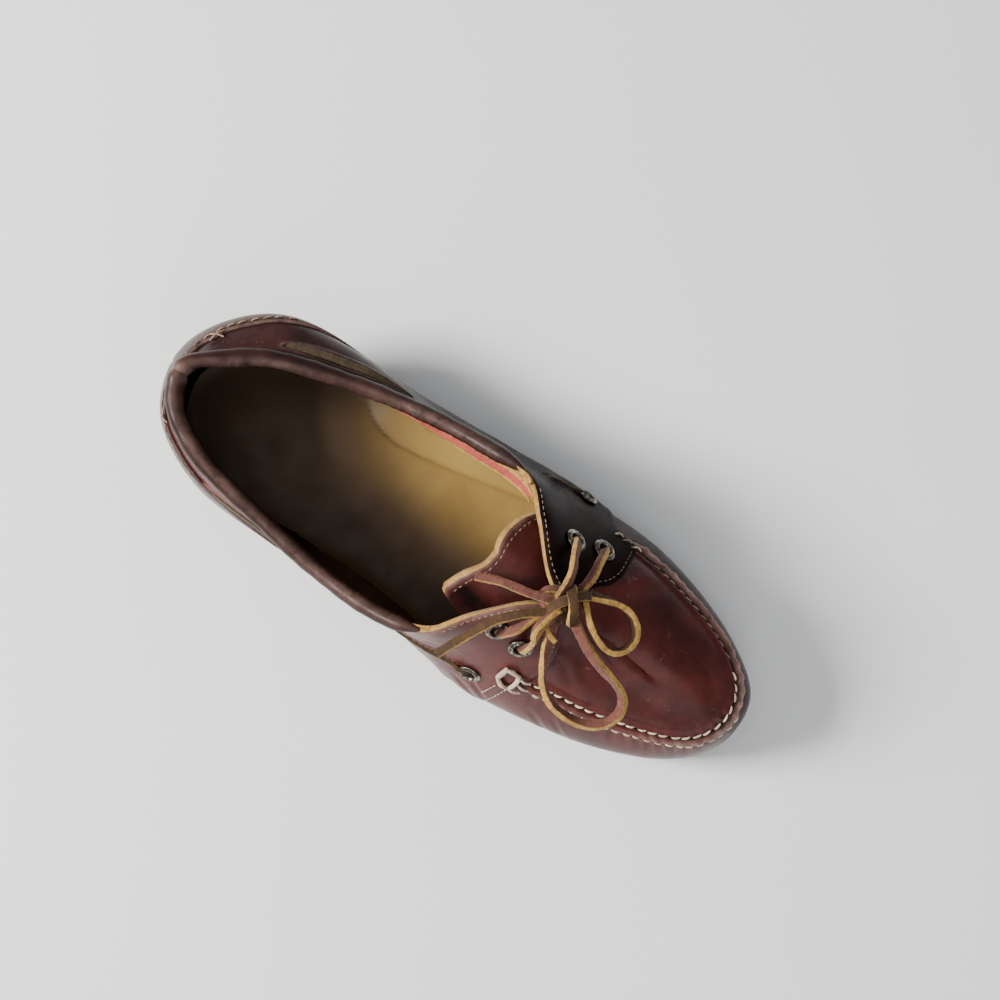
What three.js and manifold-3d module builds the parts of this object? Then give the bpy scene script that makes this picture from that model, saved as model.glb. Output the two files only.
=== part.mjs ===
import * as THREE from "three";
import { mergeVertices } from "three/addons/utils/BufferGeometryUtils.js";
import Module from "manifold-3d";

// Left boat shoe, millimetres. The toe points to -Y, the wearer's left (lateral) side is +X, the floor is z = 0.
// Inside the file a plan position is (x, s), where s is the distance forward from the back of the heel.

const wasm = await Module();
wasm.setup();
const { Manifold } = wasm;

// Driving dimensions
const WALL = 2.2; // leather upper with its lining
const GAP = 0.3; // clearance between pieces that meet
const ROLL_HALF_WIDTH = 3.5; // padded collar
const ROLL_HALF_HEIGHT = 4.2;
const SOLE_EDGE = 3; // how far the sole stands out from the upper's lower edge
const INSOLE_THICK = 3.5;
const TONGUE_THICK = 2.0;
const LACE_WIDTH = 4.0; // rawhide lace, flat section
const LACE_THICK = 2.4;
const CORD = 3.2; // diameter of the round cord that stands for the bow
const EYELET_R = 4.7;
const EYELET_BORE = 2.2;
const TREAD_DEPTH = 2.2;
const TREAD_WIDTH = 2.6;
const TREAD_LEAN = 6; // how far a channel's point runs ahead of its arms
const TREAD_ROWS = [
  { first: 16, last: 68, count: 5 },
  { first: 152, last: 212, count: 6 },
  { first: 224, last: 272, count: 4 },
];
const SLAB = 140; // wider than the shoe, for the solids that trim the sole
const CUTTER = 10;

// Stations round the foot, heel to toe. spine is the (s, x) end on the centre line, lat and med the (s, x) ends
// on the widest outline, and feather how far inside it the upper meets the sole (lateral, medial).
const STATIONS = [
  { spine: [34, 0], lat: [0, 1], med: [0, 1], feather: [4, 4] },
  { spine: [38, 0], lat: [10.5, 22.5], med: [9.5, -24], feather: [4, 4] },
  { spine: [48, 0], lat: [35, 40], med: [35.5, -39.5], feather: [4, 5] },
  { spine: [74, 0], lat: [72, 46], med: [74, -43], feather: [6, 9] },
  { spine: [106, 0], lat: [106, 46.5], med: [107, -44.5], feather: [8, 12] },
  { spine: [138, 0], lat: [138, 47.5], med: [137.5, -47], feather: [7, 11] },
  { spine: [160, -1], lat: [164, 48.7], med: [160, -51], feather: [5.5, 8] },
  { spine: [174, -1.5], lat: [179, 48.5], med: [174, -53.5], feather: [5, 6] },
  { spine: [190, -2], lat: [196, 47.5], med: [191, -54.5], feather: [4, 4.5] },
  { spine: [206, -3], lat: [219, 46], med: [214.5, -52], feather: [4, 4] },
  { spine: [222, -4], lat: [245, 39], med: [240, -47.5], feather: [4, 4] },
  { spine: [234, -5.5], lat: [270.5, 26.5], med: [266, -38], feather: [4, 4] },
  { spine: [240, -6.5], lat: [288, 10.5], med: [283, -25.5], feather: [4, 4] },
  { spine: [242, -7], lat: [290, -8.5], med: [290, -8.5], feather: [4, 4] },
];

// Profile of each side at those stations: (inset from the outline, height) at the bulge over the sole, at the
// shoulder (the moccasin seam, in front) and at the top edge. From station THROAT on, the top is on the spine.
const LATERAL = [
  { bulge: [2, 38], shoulder: [3.3, 58], top: [14, 76], crown: 0 },
  { bulge: [1.5, 38], shoulder: [0, 58], top: [18, 74.5], crown: 0 },
  { bulge: [1, 38], shoulder: [-2, 56], top: [18.5, 70.5], crown: 0 },
  { bulge: [1.5, 36], shoulder: [1, 51.5], top: [14.5, 66.3], crown: 0 },
  { bulge: [1.5, 34], shoulder: [4.5, 50], top: [10, 66.5], crown: 0 },
  { bulge: [1.5, 31], shoulder: [6.5, 52], top: [10, 72.5], crown: 0 },
  { bulge: [1.5, 27], shoulder: [8.5, 54], top: [14, 82], crown: 0.3 },
  { bulge: [1.5, 25], shoulder: [10.5, 54.5], top: [26.5, 85], crown: 0.7 },
  { bulge: [1.7, 24], shoulder: [12.5, 53.5], top: [42.5, 86], crown: 0.9 },
  { bulge: [2, 22], shoulder: [11.5, 50], top: [0, 77], crown: 1 },
  { bulge: [2, 22], shoulder: [10.3, 47], top: [0, 70], crown: 1 },
  { bulge: [1.7, 22], shoulder: [8.6, 44], top: [0, 64], crown: 1 },
  { bulge: [1, 23], shoulder: [9, 43.2], top: [0, 61], crown: 1 },
  { bulge: [0.5, 23], shoulder: [8.2, 42.8], top: [0, 60], crown: 1 },
];
const MEDIAL = [
  LATERAL[0],
  { bulge: [2, 38], shoulder: [3.6, 57], top: [13.5, 75.5], crown: 0 },
  { bulge: [1.5, 38], shoulder: [4.4, 55], top: [12, 72], crown: 0 },
  { bulge: [1.5, 36], shoulder: [3.3, 51], top: [6.5, 67], crown: 0 },
  { bulge: [2, 34], shoulder: [2, 50], top: [2, 67], crown: 0 },
  { bulge: [2, 31], shoulder: [2.5, 52], top: [3, 73], crown: 0 },
  { bulge: [1.5, 27], shoulder: [6, 54], top: [12, 83], crown: 0.3 },
  { bulge: [1, 25], shoulder: [11, 54.5], top: [30, 86], crown: 0.7 },
  { bulge: [1, 24], shoulder: [15, 53.5], top: [46, 86], crown: 0.9 },
  { bulge: [1, 22], shoulder: [16.8, 50], top: [0, 77], crown: 1 },
  { bulge: [1.3, 22], shoulder: [15.6, 47], top: [0, 70], crown: 1 },
  { bulge: [1.4, 22], shoulder: [14, 44], top: [0, 64], crown: 1 },
  { bulge: [1.5, 23], shoulder: [11, 43], top: [0, 61], crown: 1 },
  LATERAL[13],
];
const TOE = STATIONS.length - 1;
const THROAT = 9; // station where the opening's V ends
const CORNER = 6; // station of the eyestay's corner
const RING = 2 * TOE; // stations in the closed ring: heel, lateral side, toe, medial side

// Sole: height of its top face, and of its underside, by distance from the heel.
const SOLE_TOP = [[-20, 25], [0, 25], [60, 24], [110, 19], [150, 15], [190, 12.5], [215, 12], [250, 13], [290, 17.5],
  [310, 21]];
const HEEL_BREAST = [82, 92]; // the step from the heel to the arch
const ARCH_HEIGHT = 5.5;
const FOREFOOT = [146, 214]; // flat length that rests on the floor
const TOE_SPRING = 9;

// Tongue rows, back edge to front: lateral, middle and medial points as (x, s, z of the upper face).
const TONGUE = [
  { lateral: [26.5, 177, 69], middle: [3, 168.5, 84], medial: [-23, 156, 76] },
  { lateral: [26, 183, 67.5], middle: [1, 177, 83], medial: [-27, 167, 73] },
  { lateral: [22.5, 193, 65], middle: [-1, 188, 80.5], medial: [-27, 181, 69] },
  { lateral: [18.5, 202, 62.5], middle: [-2, 199, 76], medial: [-24, 194, 65] },
  { lateral: [15, 211, 62.5], middle: [-3, 209, 70.5], medial: [-21, 206, 63] },
  { lateral: [12, 219, 61], middle: [-4, 218, 67], medial: [-18, 216, 61] },
];

// Eyelets and laces are placed on the upper by station u and height w (2 at the seam, 3 at the top edge).
const EYELETS = [
  { name: "eyelet_lateral_rear", u: 7.92, w: 2.5 },
  { name: "eyelet_lateral_front", u: 8.5, w: 2.33 },
  { name: "eyelet_medial_rear", u: RING - 7.62, w: 2.67 },
  { name: "eyelet_medial_front", u: RING - 8.25, w: 2.47 },
  { name: "eyelet_side_lateral", u: 7.35, w: 1.5 },
  { name: "eyelet_side_medial", u: RING - 7.46, w: 1.8 },
];
const SIDE_LACES = [
  { name: "side_lace_lateral_rear", from: [2.15, 2.7], to: [3.8, 2.42], steps: 14 },
  { name: "side_lace_lateral_front", from: [6.05, 1.8], to: [7, 1.58], steps: 8 },
  { name: "side_lace_medial_rear", from: [RING - 2.1, 2.05], to: [RING - 3.85, 2.2], steps: 14 },
  { name: "side_lace_medial_front", from: [RING - 4.8, 2.1], to: [RING - 7.1, 1.82], steps: 16 },
];
const KNOT = new THREE.Vector3(-1, 202, 90); // centre of the bow's knot (x, s, z)

const mod = (a, n) => ((a % n) + n) % n;

function catmull(a, b, c, d, t) {
  return 0.5 * (2 * b + (c - a) * t + (2 * a - 5 * b + 4 * c - d) * t * t + (3 * b - a - 3 * c + d) * t * t * t);
}

// One row of the closed ring: outline, spine, feather, bulge, shoulder, top and crown as numbers.
function ringRow(i) {
  const k = mod(i, RING);
  const medial = k > TOE;
  const n = medial ? RING - k : k;
  const station = STATIONS[n];
  const side = medial ? MEDIAL[n] : LATERAL[n];
  const outline = medial ? station.med : station.lat;
  const reach = Math.hypot(outline[0] - station.spine[0], outline[1] - station.spine[1]);
  const top = n >= THROAT ? [reach, side.top[1]] : side.top;
  const feather = station.feather[medial ? 1 : 0];
  return [...outline, ...station.spine, feather, ...side.bulge, ...side.shoulder, ...top, side.crown];
}
const ROWS = Array.from({ length: RING }, (_, i) => ringRow(i));

function ringAt(u) {
  const i = Math.floor(u);
  const [a, b, c, d] = [-1, 0, 1, 2].map((k) => ROWS[mod(i + k, RING)]);
  const v = b.map((_, k) => catmull(a[k], b[k], c[k], d[k], u - i));
  const n = Math.min(mod(u, RING), RING - mod(u, RING));
  const length = Math.hypot(v[0] - v[2], v[1] - v[3]);
  const dir = [(v[2] - v[0]) / length, (v[3] - v[1]) / length];
  if (n >= THROAT) v[9] = length;
  return { v, length, dir };
}

function curveAt(points, s) {
  let i = 0;
  while (i < points.length - 2 && s > points[i + 1][0]) i += 1;
  const slope = (k) => {
    const a = points[Math.max(k - 1, 0)];
    const b = points[Math.min(k + 1, points.length - 1)];
    return (b[1] - a[1]) / (b[0] - a[0]);
  };
  const [x0, y0] = points[i];
  const [x1, y1] = points[i + 1];
  const h = x1 - x0;
  const t = (s - x0) / h;
  const t2 = t * t;
  const t3 = t2 * t;
  return (2 * t3 - 3 * t2 + 1) * y0 + (t3 - 2 * t2 + t) * h * slope(i)
    + (3 * t2 - 2 * t3) * y1 + (t3 - t2) * h * slope(i + 1);
}
const soleTop = (s) => curveAt(SOLE_TOP, s);

// Profile through four points with chord-length knots, so that long and short spans stay smooth.
function profileAt(p, t) {
  const d = [0, 1, 2].map((k) => Math.max(Math.sqrt(Math.hypot(p[k + 1][0] - p[k][0], p[k + 1][1] - p[k][1])), 0.01));
  return [0, 1].map((k) => {
    const [a, b, c, e] = p.map((q) => q[k]);
    const m1 = ((b - a) / d[0] - (c - a) / (d[0] + d[1]) + (c - b) / d[1]) * d[1];
    const m2 = ((c - b) / d[1] - (e - b) / (d[1] + d[2]) + (e - c) / d[2]) * d[1];
    return b + m1 * t + (3 * (c - b) - 2 * m1 - m2) * t * t + (2 * (b - c) + m1 + m2) * t * t * t;
  });
}

// Outside of the upper at station u and height w: 0 feather, 1 bulge, 2 shoulder, 3 top edge.
function lastPoint(u, w) {
  const { v, dir } = ringAt(u);
  const crown = v[11];
  const feather = [v[4], soleTop(v[0]) + GAP];
  const bulge = [v[5], v[6]];
  const shoulder = [v[7], v[8]];
  const top = [v[9], v[10]];
  const below = [2 * feather[0] - bulge[0], 2 * feather[1] - bulge[1]];
  const beyond = [2 * top[0] - shoulder[0], top[1] + (top[1] - shoulder[1]) * (1 - 2 * crown)];
  const all = [below, feather, bulge, shoulder, top, beyond];
  const i = Math.min(Math.floor(w), 2);
  const [r, z] = profileAt(all.slice(i, i + 4), w - i);
  return new THREE.Vector3(v[1] + dir[1] * r, v[0] + dir[0] * r, z);
}

// Outward normal of the upper, in (x, s, z).
function lastNormal(u, w) {
  const e = 0.04;
  const along = lastPoint(u + e, w).sub(lastPoint(u - e, w));
  const up = lastPoint(u, w + e).sub(lastPoint(u, w - e));
  return along.cross(up).normalize();
}

// (x, s, z) to the part's own (x, y, z): y falls from heel to toe.
const place = (p) => new THREE.Vector3(p.x, -p.y, p.z);

function meshData(points, faces) {
  const g = new THREE.BufferGeometry();
  g.setAttribute("position", new THREE.BufferAttribute(new Float32Array(points.flatMap((p) => [p.x, p.y, p.z])), 3));
  g.setIndex(faces.flat());
  return g;
}

function toSolid(geometry) {
  const g = geometry.clone();
  g.deleteAttribute("normal");
  g.deleteAttribute("uv");
  const merged = mergeVertices(g, 1e-4);
  const vertProperties = merged.attributes.position.array;
  return new Manifold(new wasm.Mesh({ numProp: 3, vertProperties, triVerts: new Uint32Array(merged.index.array) }));
}

// A prism on an outline of (a, b) points, standing along +Z.
function prism(outline, depth) {
  const shape = new THREE.Shape(outline.map(([a, b]) => new THREE.Vector2(a, b)));
  return new THREE.ExtrudeGeometry(shape, { depth, bevelEnabled: false });
}

function fromSolid(solid) {
  const m = solid.getMesh();
  const g = new THREE.BufferGeometry();
  g.setAttribute("position", new THREE.BufferAttribute(new Float32Array(m.vertProperties), 3));
  g.setIndex([...m.triVerts]);
  return g;
}

// Turns every face of a closed mesh outwards.
function faceOut(points, faces) {
  let volume = 0;
  for (const [a, b, c] of faces) {
    volume += points[a].dot(points[b].clone().cross(points[c]));
  }
  return volume < 0 ? faces.map(([a, b, c]) => [a, c, b]) : faces;
}

// A closed body through rings of points, with a flat cap at each end.
function loft(rings) {
  const n = rings[0].length;
  const points = rings.flat();
  const faces = [];
  for (let i = 0; i + 1 < rings.length; i += 1) {
    for (let k = 0; k < n; k += 1) {
      const a = i * n + k;
      const b = i * n + ((k + 1) % n);
      faces.push([a, b, b + n], [a, b + n, a + n]);
    }
  }
  for (const [ring, flip] of [[0, true], [rings.length - 1, false]]) {
    const centre = points.length;
    points.push(rings[ring].reduce((c, p) => c.add(p), new THREE.Vector3()).divideScalar(n));
    for (let k = 0; k < n; k += 1) {
      const a = ring * n + k;
      const b = ring * n + ((k + 1) % n);
      faces.push(flip ? [a, centre, b] : [a, b, centre]);
    }
  }
  return meshData(points, faceOut(points, faces));
}

// The upper: an outer skin, an inner skin WALL inside it, and rims at the sole and round the opening.
function upperShell() {
  const per = 3;
  const cols = RING * per;
  const rows = 10;
  const middle = TOE * per;
  const throat = THROAT * per;
  const column = (i, j) => {
    const c = mod(i, cols);
    return j === rows && c > middle && c <= cols - throat ? cols - c : c;
  };
  const id = (i, j) => column(i, j) * (rows + 1) + j;
  const outer = [];
  for (let i = 0; i < cols; i += 1) {
    const u = i / per;
    const n = Math.min(u, RING - u);
    // Behind the eyestay the rim drops to leave room for the padded collar.
    const drop = 1 - THREE.MathUtils.smoothstep(n, CORNER - 0.4, CORNER + 0.4);
    const reach = lastPoint(u, 3).distanceTo(lastPoint(u, 2));
    const top = 3 - (drop * (ROLL_HALF_HEIGHT + GAP)) / reach;
    for (let j = 0; j <= rows; j += 1) outer.push(place(lastPoint(u, (top * j) / rows)));
  }
  const skin = [];
  for (let i = 0; i < cols; i += 1) {
    for (let j = 0; j < rows; j += 1) {
      const [a, b, c, d] = [id(i, j), id(i + 1, j), id(i + 1, j + 1), id(i, j + 1)];
      skin.push([a, d, c], [a, c, b]);
    }
  }
  const normals = outer.map(() => new THREE.Vector3());
  for (const [a, b, c] of skin) {
    const n = outer[b].clone().sub(outer[a]).cross(outer[c].clone().sub(outer[a]));
    [a, b, c].forEach((k) => normals[k].add(n));
  }
  const inner = outer.map((p, k) => p.clone().addScaledVector(normals[k].normalize(), -WALL));
  const m = outer.length;
  const faces = [...skin, ...skin.map(([a, b, c]) => [a + m, c + m, b + m])];
  for (let i = 0; i < cols; i += 1) {
    const [a, b] = [id(i, 0), id(i + 1, 0)];
    faces.push([a, b, b + m], [a, b + m, a + m]);
    if (i < throat || i >= cols - throat) {
      const [c, d] = [id(i, rows), id(i + 1, rows)];
      faces.push([c, c + m, d + m], [c, d + m, d]);
    }
  }
  const points = [...outer, ...inner];
  return toSolid(meshData(points, faceOut(points, faces)));
}

// A plate across the foot: edge points inset from the outline, then in to the spine, between two heights.
function footPlate(inset, low, high) {
  const per = 2;
  const cols = RING * per;
  const rows = 4;
  const middle = TOE * per;
  const id = (i, j) => {
    const c = mod(i, cols);
    return (j === rows && c > middle ? cols - c : c) * (rows + 1) + j;
  };
  const plan = [];
  for (let i = 0; i < cols; i += 1) {
    const { v, dir, length } = ringAt(i / per);
    for (let j = 0; j <= rows; j += 1) {
      const r = inset(v) + ((length - inset(v)) * j) / rows;
      plan.push({ x: v[1] + dir[1] * r, s: v[0] + dir[0] * r, edge: j === 0 });
    }
  }
  const points = [high, low].flatMap((height) => plan.map((p) => new THREE.Vector3(p.x, -p.s, height(p))));
  const m = plan.length;
  const faces = [];
  for (let i = 0; i < cols; i += 1) {
    for (let j = 0; j < rows; j += 1) {
      const [a, b, c, d] = [id(i, j), id(i + 1, j), id(i + 1, j + 1), id(i, j + 1)];
      const top = [[a, d, c], [a, c, b]];
      faces.push(...top, ...top.map(([p, q, r]) => [p + m, r + m, q + m]));
    }
    const [a, b] = [id(i, 0), id(i + 1, 0)];
    faces.push([a, b, b + m], [a, b + m, a + m]);
  }
  const kept = faces.filter(([a, b, c]) => a !== b && b !== c && a !== c);
  return meshData(points, faceOut(points, kept));
}

function underside(s) {
  if (s < HEEL_BREAST[0]) return s < 6 ? (6 - s) * 0.35 : 0;
  if (s < HEEL_BREAST[1]) return (ARCH_HEIGHT * (s - HEEL_BREAST[0])) / (HEEL_BREAST[1] - HEEL_BREAST[0]);
  if (s < FOREFOOT[0]) {
    const t = (FOREFOOT[0] - s) / (FOREFOOT[0] - HEEL_BREAST[1]);
    return ARCH_HEIGHT * t * t * (3 - 2 * t);
  }
  if (s < FOREFOOT[1]) return 0;
  return TOE_SPRING * ((s - FOREFOOT[1]) / (290 - FOREFOOT[1])) ** 2;
}

// One chevron channel of the tread, pointing forward at distance s from the heel.
function channel(s) {
  const half = TREAD_WIDTH / 2;
  const ahead = -s + TREAD_LEAN;
  const behind = -s - TREAD_LEAN * 1.6;
  const reach = SLAB / 2;
  const bar = prism([
    [-reach, behind - half], [0, ahead - half], [reach, behind - half],
    [reach, behind + half], [0, ahead + half], [-reach, behind + half],
  ], CUTTER);
  return toSolid(bar.translate(0, 0, underside(s) + TREAD_DEPTH - CUTTER));
}

// The sole: the plan outline as a prism, trimmed by its side view, with chevron channels across the tread.
function outsole() {
  const plan = [];
  for (let i = 0; i < RING * 3; i += 1) {
    const { v, dir } = ringAt(i / 3);
    const r = v[4] - SOLE_EDGE;
    plan.push([v[1] + dir[1] * r, -(v[0] + dir[0] * r)]);
  }
  const stops = [];
  for (let s = -4; s <= 294; s += 4) stops.push(s);
  stops.push(...HEEL_BREAST, FOREFOOT[1]);
  stops.sort((a, b) => a - b);
  const lower = stops.map((s) => [-s, underside(s)]);
  const upper = stops.map((s) => [-s, soleTop(s)]).reverse();
  // The side view is drawn in (y, z); turning the axes round lays its length along x.
  const turned = new THREE.Matrix4().set(0, 0, 1, 0, 1, 0, 0, 0, 0, 1, 0, 0, 0, 0, 0, 1);
  const side = prism([...lower, ...upper], SLAB).applyMatrix4(turned).translate(-SLAB / 2, 0, 0);
  const channels = TREAD_ROWS.flatMap(({ first, last, count }) => (
    Array.from({ length: count }, (_, k) => channel(first + ((last - first) * k) / (count - 1)))));
  return toSolid(prism(plan, 45)).intersect(toSolid(side)).subtract(Manifold.union(channels));
}

// Padded collar: an oval roll round the top line, from one eyestay corner to the other.
function collarRoll() {
  const end = CORNER - 0.45;
  const steps = 56;
  const sides = 8;
  const rings = [];
  for (let i = 0; i <= steps; i += 1) {
    const u = -end + (2 * end * i) / steps;
    const centre = lastPoint(u, 3);
    const { dir } = ringAt(u);
    const inward = new THREE.Vector3(dir[1], dir[0], 0);
    const rise = lastPoint(u, 3).sub(lastPoint(u, 2.8)).normalize();
    const nearEnd = Math.min(i, steps - i);
    const size = nearEnd === 0 ? 0.55 : nearEnd === 1 ? 0.88 : 1;
    const across = inward.clone().addScaledVector(rise, -inward.dot(rise)).normalize();
    rings.push(Array.from({ length: sides }, (_, k) => {
      const a = (2 * Math.PI * (k + 0.5)) / sides;
      return place(centre.clone()
        .addScaledVector(across, Math.cos(a) * ROLL_HALF_WIDTH * size)
        .addScaledVector(rise, Math.sin(a) * ROLL_HALF_HEIGHT * size));
    }));
  }
  return loft(rings);
}

function tongue() {
  const steps = 14;
  const rowsAt = [];
  for (let i = 0; i < TONGUE.length; i += 1) {
    rowsAt.push(TONGUE[i]);
    if (i + 1 < TONGUE.length) {
      const next = TONGUE[i + 1];
      const mid = (key) => TONGUE[i][key].map((n, k) => (n + next[key][k]) / 2);
      rowsAt.push({ lateral: mid("lateral"), middle: mid("middle"), medial: mid("medial") });
    }
  }
  const rings = rowsAt.map((row) => {
    const at = (t) => {
      const [p, q, r] = [row.lateral, row.middle, row.medial];
      const weights = [(1 - t) * (1 - 2 * t), 4 * t * (1 - t), t * (2 * t - 1)];
      return new THREE.Vector3(...[0, 1, 2].map((k) => weights[0] * p[k] + weights[1] * q[k] + weights[2] * r[k]));
    };
    const top = [];
    const bottom = [];
    for (let k = 0; k <= steps; k += 1) {
      const p = at(k / steps);
      const d = at(k / steps + 0.01).sub(at(k / steps - 0.01));
      const down = new THREE.Vector3(d.z, 0, -d.x).normalize().multiplyScalar(Math.sign(d.x) * TONGUE_THICK);
      top.push(place(p));
      bottom.push(place(p.clone().add(down)));
    }
    return [...top, ...bottom.reverse()];
  });
  return loft(rings);
}

// Eyelet: a turned flange over the leather and a barrel through it, set on the surface normal.
function eyeletAt({ u, w }) {
  const profile = [
    [EYELET_BORE, -WALL - 0.3], [EYELET_BORE + 0.6, -WALL - 0.3], [EYELET_BORE + 0.6, GAP], [EYELET_R, GAP],
    [EYELET_R, GAP + 0.5], [EYELET_R - 0.8, GAP + 1.2], [EYELET_BORE + 0.5, GAP + 1.2], [EYELET_BORE, GAP + 0.7],
    [EYELET_BORE, -WALL - 0.3],
  ];
  const g = new THREE.LatheGeometry(profile.map(([r, y]) => new THREE.Vector2(r, y)), 14);
  const normal = place(lastNormal(u, w)).normalize();
  g.applyQuaternion(new THREE.Quaternion().setFromUnitVectors(new THREE.Vector3(0, 1, 0), normal));
  const at = place(lastPoint(u, w));
  g.translate(at.x, at.y, at.z);
  return g;
}

function eyeletHole({ u, w }) {
  const g = new THREE.CylinderGeometry(EYELET_BORE + 0.95, EYELET_BORE + 0.95, 14, 14);
  const normal = place(lastNormal(u, w)).normalize();
  g.applyQuaternion(new THREE.Quaternion().setFromUnitVectors(new THREE.Vector3(0, 1, 0), normal));
  const at = place(lastPoint(u, w));
  g.translate(at.x, at.y, at.z);
  return toSolid(g);
}

// A flat lace along points that each carry the direction its broad face looks in.
function lace(path) {
  const rings = path.map(({ at, face }, i) => {
    const next = path[Math.min(i + 1, path.length - 1)].at;
    const last = path[Math.max(i - 1, 0)].at;
    const along = next.clone().sub(last).normalize();
    const across = along.clone().cross(face).normalize();
    const out = across.clone().cross(along).normalize();
    const corners = [[1, 0.6], [0.8, 1], [-0.8, 1], [-1, 0.6], [-1, -0.6], [-0.8, -1], [0.8, -1], [1, -0.6]];
    return corners.map(([a, b]) => place(at.clone()
      .addScaledVector(across, (a * LACE_WIDTH) / 2)
      .addScaledVector(out, (b * LACE_THICK) / 2)));
  });
  return loft(rings);
}

function sideLace({ from, to, steps }) {
  const path = [];
  for (let i = 0; i <= steps; i += 1) {
    const u = from[0] + ((to[0] - from[0]) * i) / steps;
    const w = from[1] + ((to[1] - from[1]) * i) / steps;
    const face = lastNormal(u, w);
    path.push({ at: lastPoint(u, w).addScaledVector(face, LACE_THICK / 2 + GAP + 0.45), face });
  }
  return lace(path);
}

// The four strands from the eyelets to the middle, joined under the knot.
function laceCrossing() {
  const meet = KNOT.clone().add(new THREE.Vector3(0, 0, -2.6));
  const strands = EYELETS.slice(0, 4).map(({ u, w }) => {
    const face = lastNormal(u, w);
    const start = lastPoint(u, w).addScaledVector(face, GAP + 1.2 + GAP + LACE_THICK / 2 + 0.7);
    const lifted = start.clone().lerp(meet, 0.45).add(new THREE.Vector3(0, 0, 3.2));
    const curve = new THREE.QuadraticBezierCurve3(start, lifted, meet);
    const steps = 8;
    const path = Array.from({ length: steps + 1 }, (_, i) => ({
      at: curve.getPoint(i / steps),
      face: face.clone().lerp(new THREE.Vector3(0, 0, 1), i / steps).normalize(),
    }));
    return toSolid(lace(path));
  });
  return fromSolid(Manifold.union(strands));
}

// Bow: round cords swept along smooth curves through (x, s, z) points.
function cord(points, steps) {
  const curve = new THREE.CatmullRomCurve3(points.map(([x, s, z]) => new THREE.Vector3(x, -s, z)), false, "centripetal");
  const ring = new THREE.Shape();
  for (let k = 0; k < 8; k += 1) {
    const a = (2 * Math.PI * k) / 8;
    ring[k ? "lineTo" : "moveTo"]((Math.cos(a) * CORD) / 2, (Math.sin(a) * CORD) / 2);
  }
  return new THREE.ExtrudeGeometry(ring, { steps, extrudePath: curve, bevelEnabled: false });
}
const LOOP_LONG = [[-5, 208, 90.5], [-9, 214, 91], [-13, 221, 89], [-16, 229, 84], [-18, 236, 78], [-21, 240.5, 74.5],
  [-27, 242.5, 72.5], [-33, 240, 71.5], [-37.5, 234, 72], [-39, 226, 73.5], [-38, 218, 76.5], [-32, 210, 81],
  [-23, 206, 85.5], [-15, 203.5, 88], [-7.5, 201.5, 89]];
const LOOP_SHORT = [[3, 208.5, 92], [-3, 214, 92.5], [-7, 220, 90.5], [-8.5, 226, 87], [-5, 231, 84], [1, 232.5, 83],
  [7, 229, 83.5], [9.5, 223, 85], [8.5, 216, 87.5], [6.5, 209, 89.5]];
const END_UP = [[-3, 196, 92.5], [-5, 190, 93], [-6, 183.5, 92.5], [-7.5, 175, 91], [-10.6, 166.6, 89]];
const END_SIDE = [[-7.5, 198.5, 92.5], [-13.5, 190.5, 93.5], [-21.5, 182.5, 92], [-32, 176, 89], [-45, 168.8, 84.5]];

function knot() {
  const g = new THREE.SphereGeometry(1, 14, 9);
  g.scale(4.6, 5.2, 3.4);
  const at = place(KNOT);
  g.translate(at.x, at.y, at.z + 4.2);
  return g;
}

const leather = { color: 0x4a1f1c, roughness: 0.38, metalness: 0 };
const collarLeather = { color: 0x5b2d28, roughness: 0.5, metalness: 0 };
const rubber = { color: 0x2a2220, roughness: 0.85, metalness: 0 };
const tan = { color: 0xa08348, roughness: 0.7, metalness: 0 };
const rawhide = { color: 0x8a5a3a, roughness: 0.75, metalness: 0 };
const nickel = { color: 0x8d8578, roughness: 0.4, metalness: 1 };

const shoe = new THREE.Group();
function add(name, geometry, look) {
  const mesh = new THREE.Mesh(geometry, new THREE.MeshStandardMaterial(look));
  mesh.name = name;
  shoe.add(mesh);
}

const holes = Manifold.union(EYELETS.map(eyeletHole));
add("outsole", fromSolid(outsole()), rubber);
add("insole", footPlate(
  (v) => v[4] + WALL + 0.9,
  (p) => soleTop(p.s) + GAP,
  (p) => soleTop(p.s) + GAP + INSOLE_THICK - (p.edge ? 1 : 0),
), tan);
add("upper", fromSolid(upperShell().subtract(holes)), leather);
add("collar", collarRoll(), collarLeather);
add("tongue", tongue(), leather);
EYELETS.forEach((e) => add(e.name, eyeletAt(e), nickel));
SIDE_LACES.forEach((l) => add(l.name, sideLace(l), rawhide));
add("lace_crossing", laceCrossing(), rawhide);
add("lace_knot", knot(), rawhide);
add("lace_loop_long", cord(LOOP_LONG, 40), rawhide);
add("lace_loop_short", cord(LOOP_SHORT, 30), rawhide);
add("lace_end_up", cord(END_UP, 12), rawhide);
add("lace_end_side", cord(END_SIDE, 14), rawhide);

// The origin is under the middle of the shoe without its bow, on the floor.
const box = new THREE.Box3();
shoe.children.filter((m) => !/^lace_(knot|loop|end)/.test(m.name)).forEach((m) => box.expandByObject(m));
const middle = box.getCenter(new THREE.Vector3());
shoe.children.forEach((m) => m.geometry.translate(-middle.x, -middle.y, -box.min.z));

export default shoe;
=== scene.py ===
"""Looks of the boat shoe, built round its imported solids. Shoe sizes are millimetres, Blender's are metres."""

import math

import bmesh
import bpy
import numpy as np
from mathutils import Matrix, Vector


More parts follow.
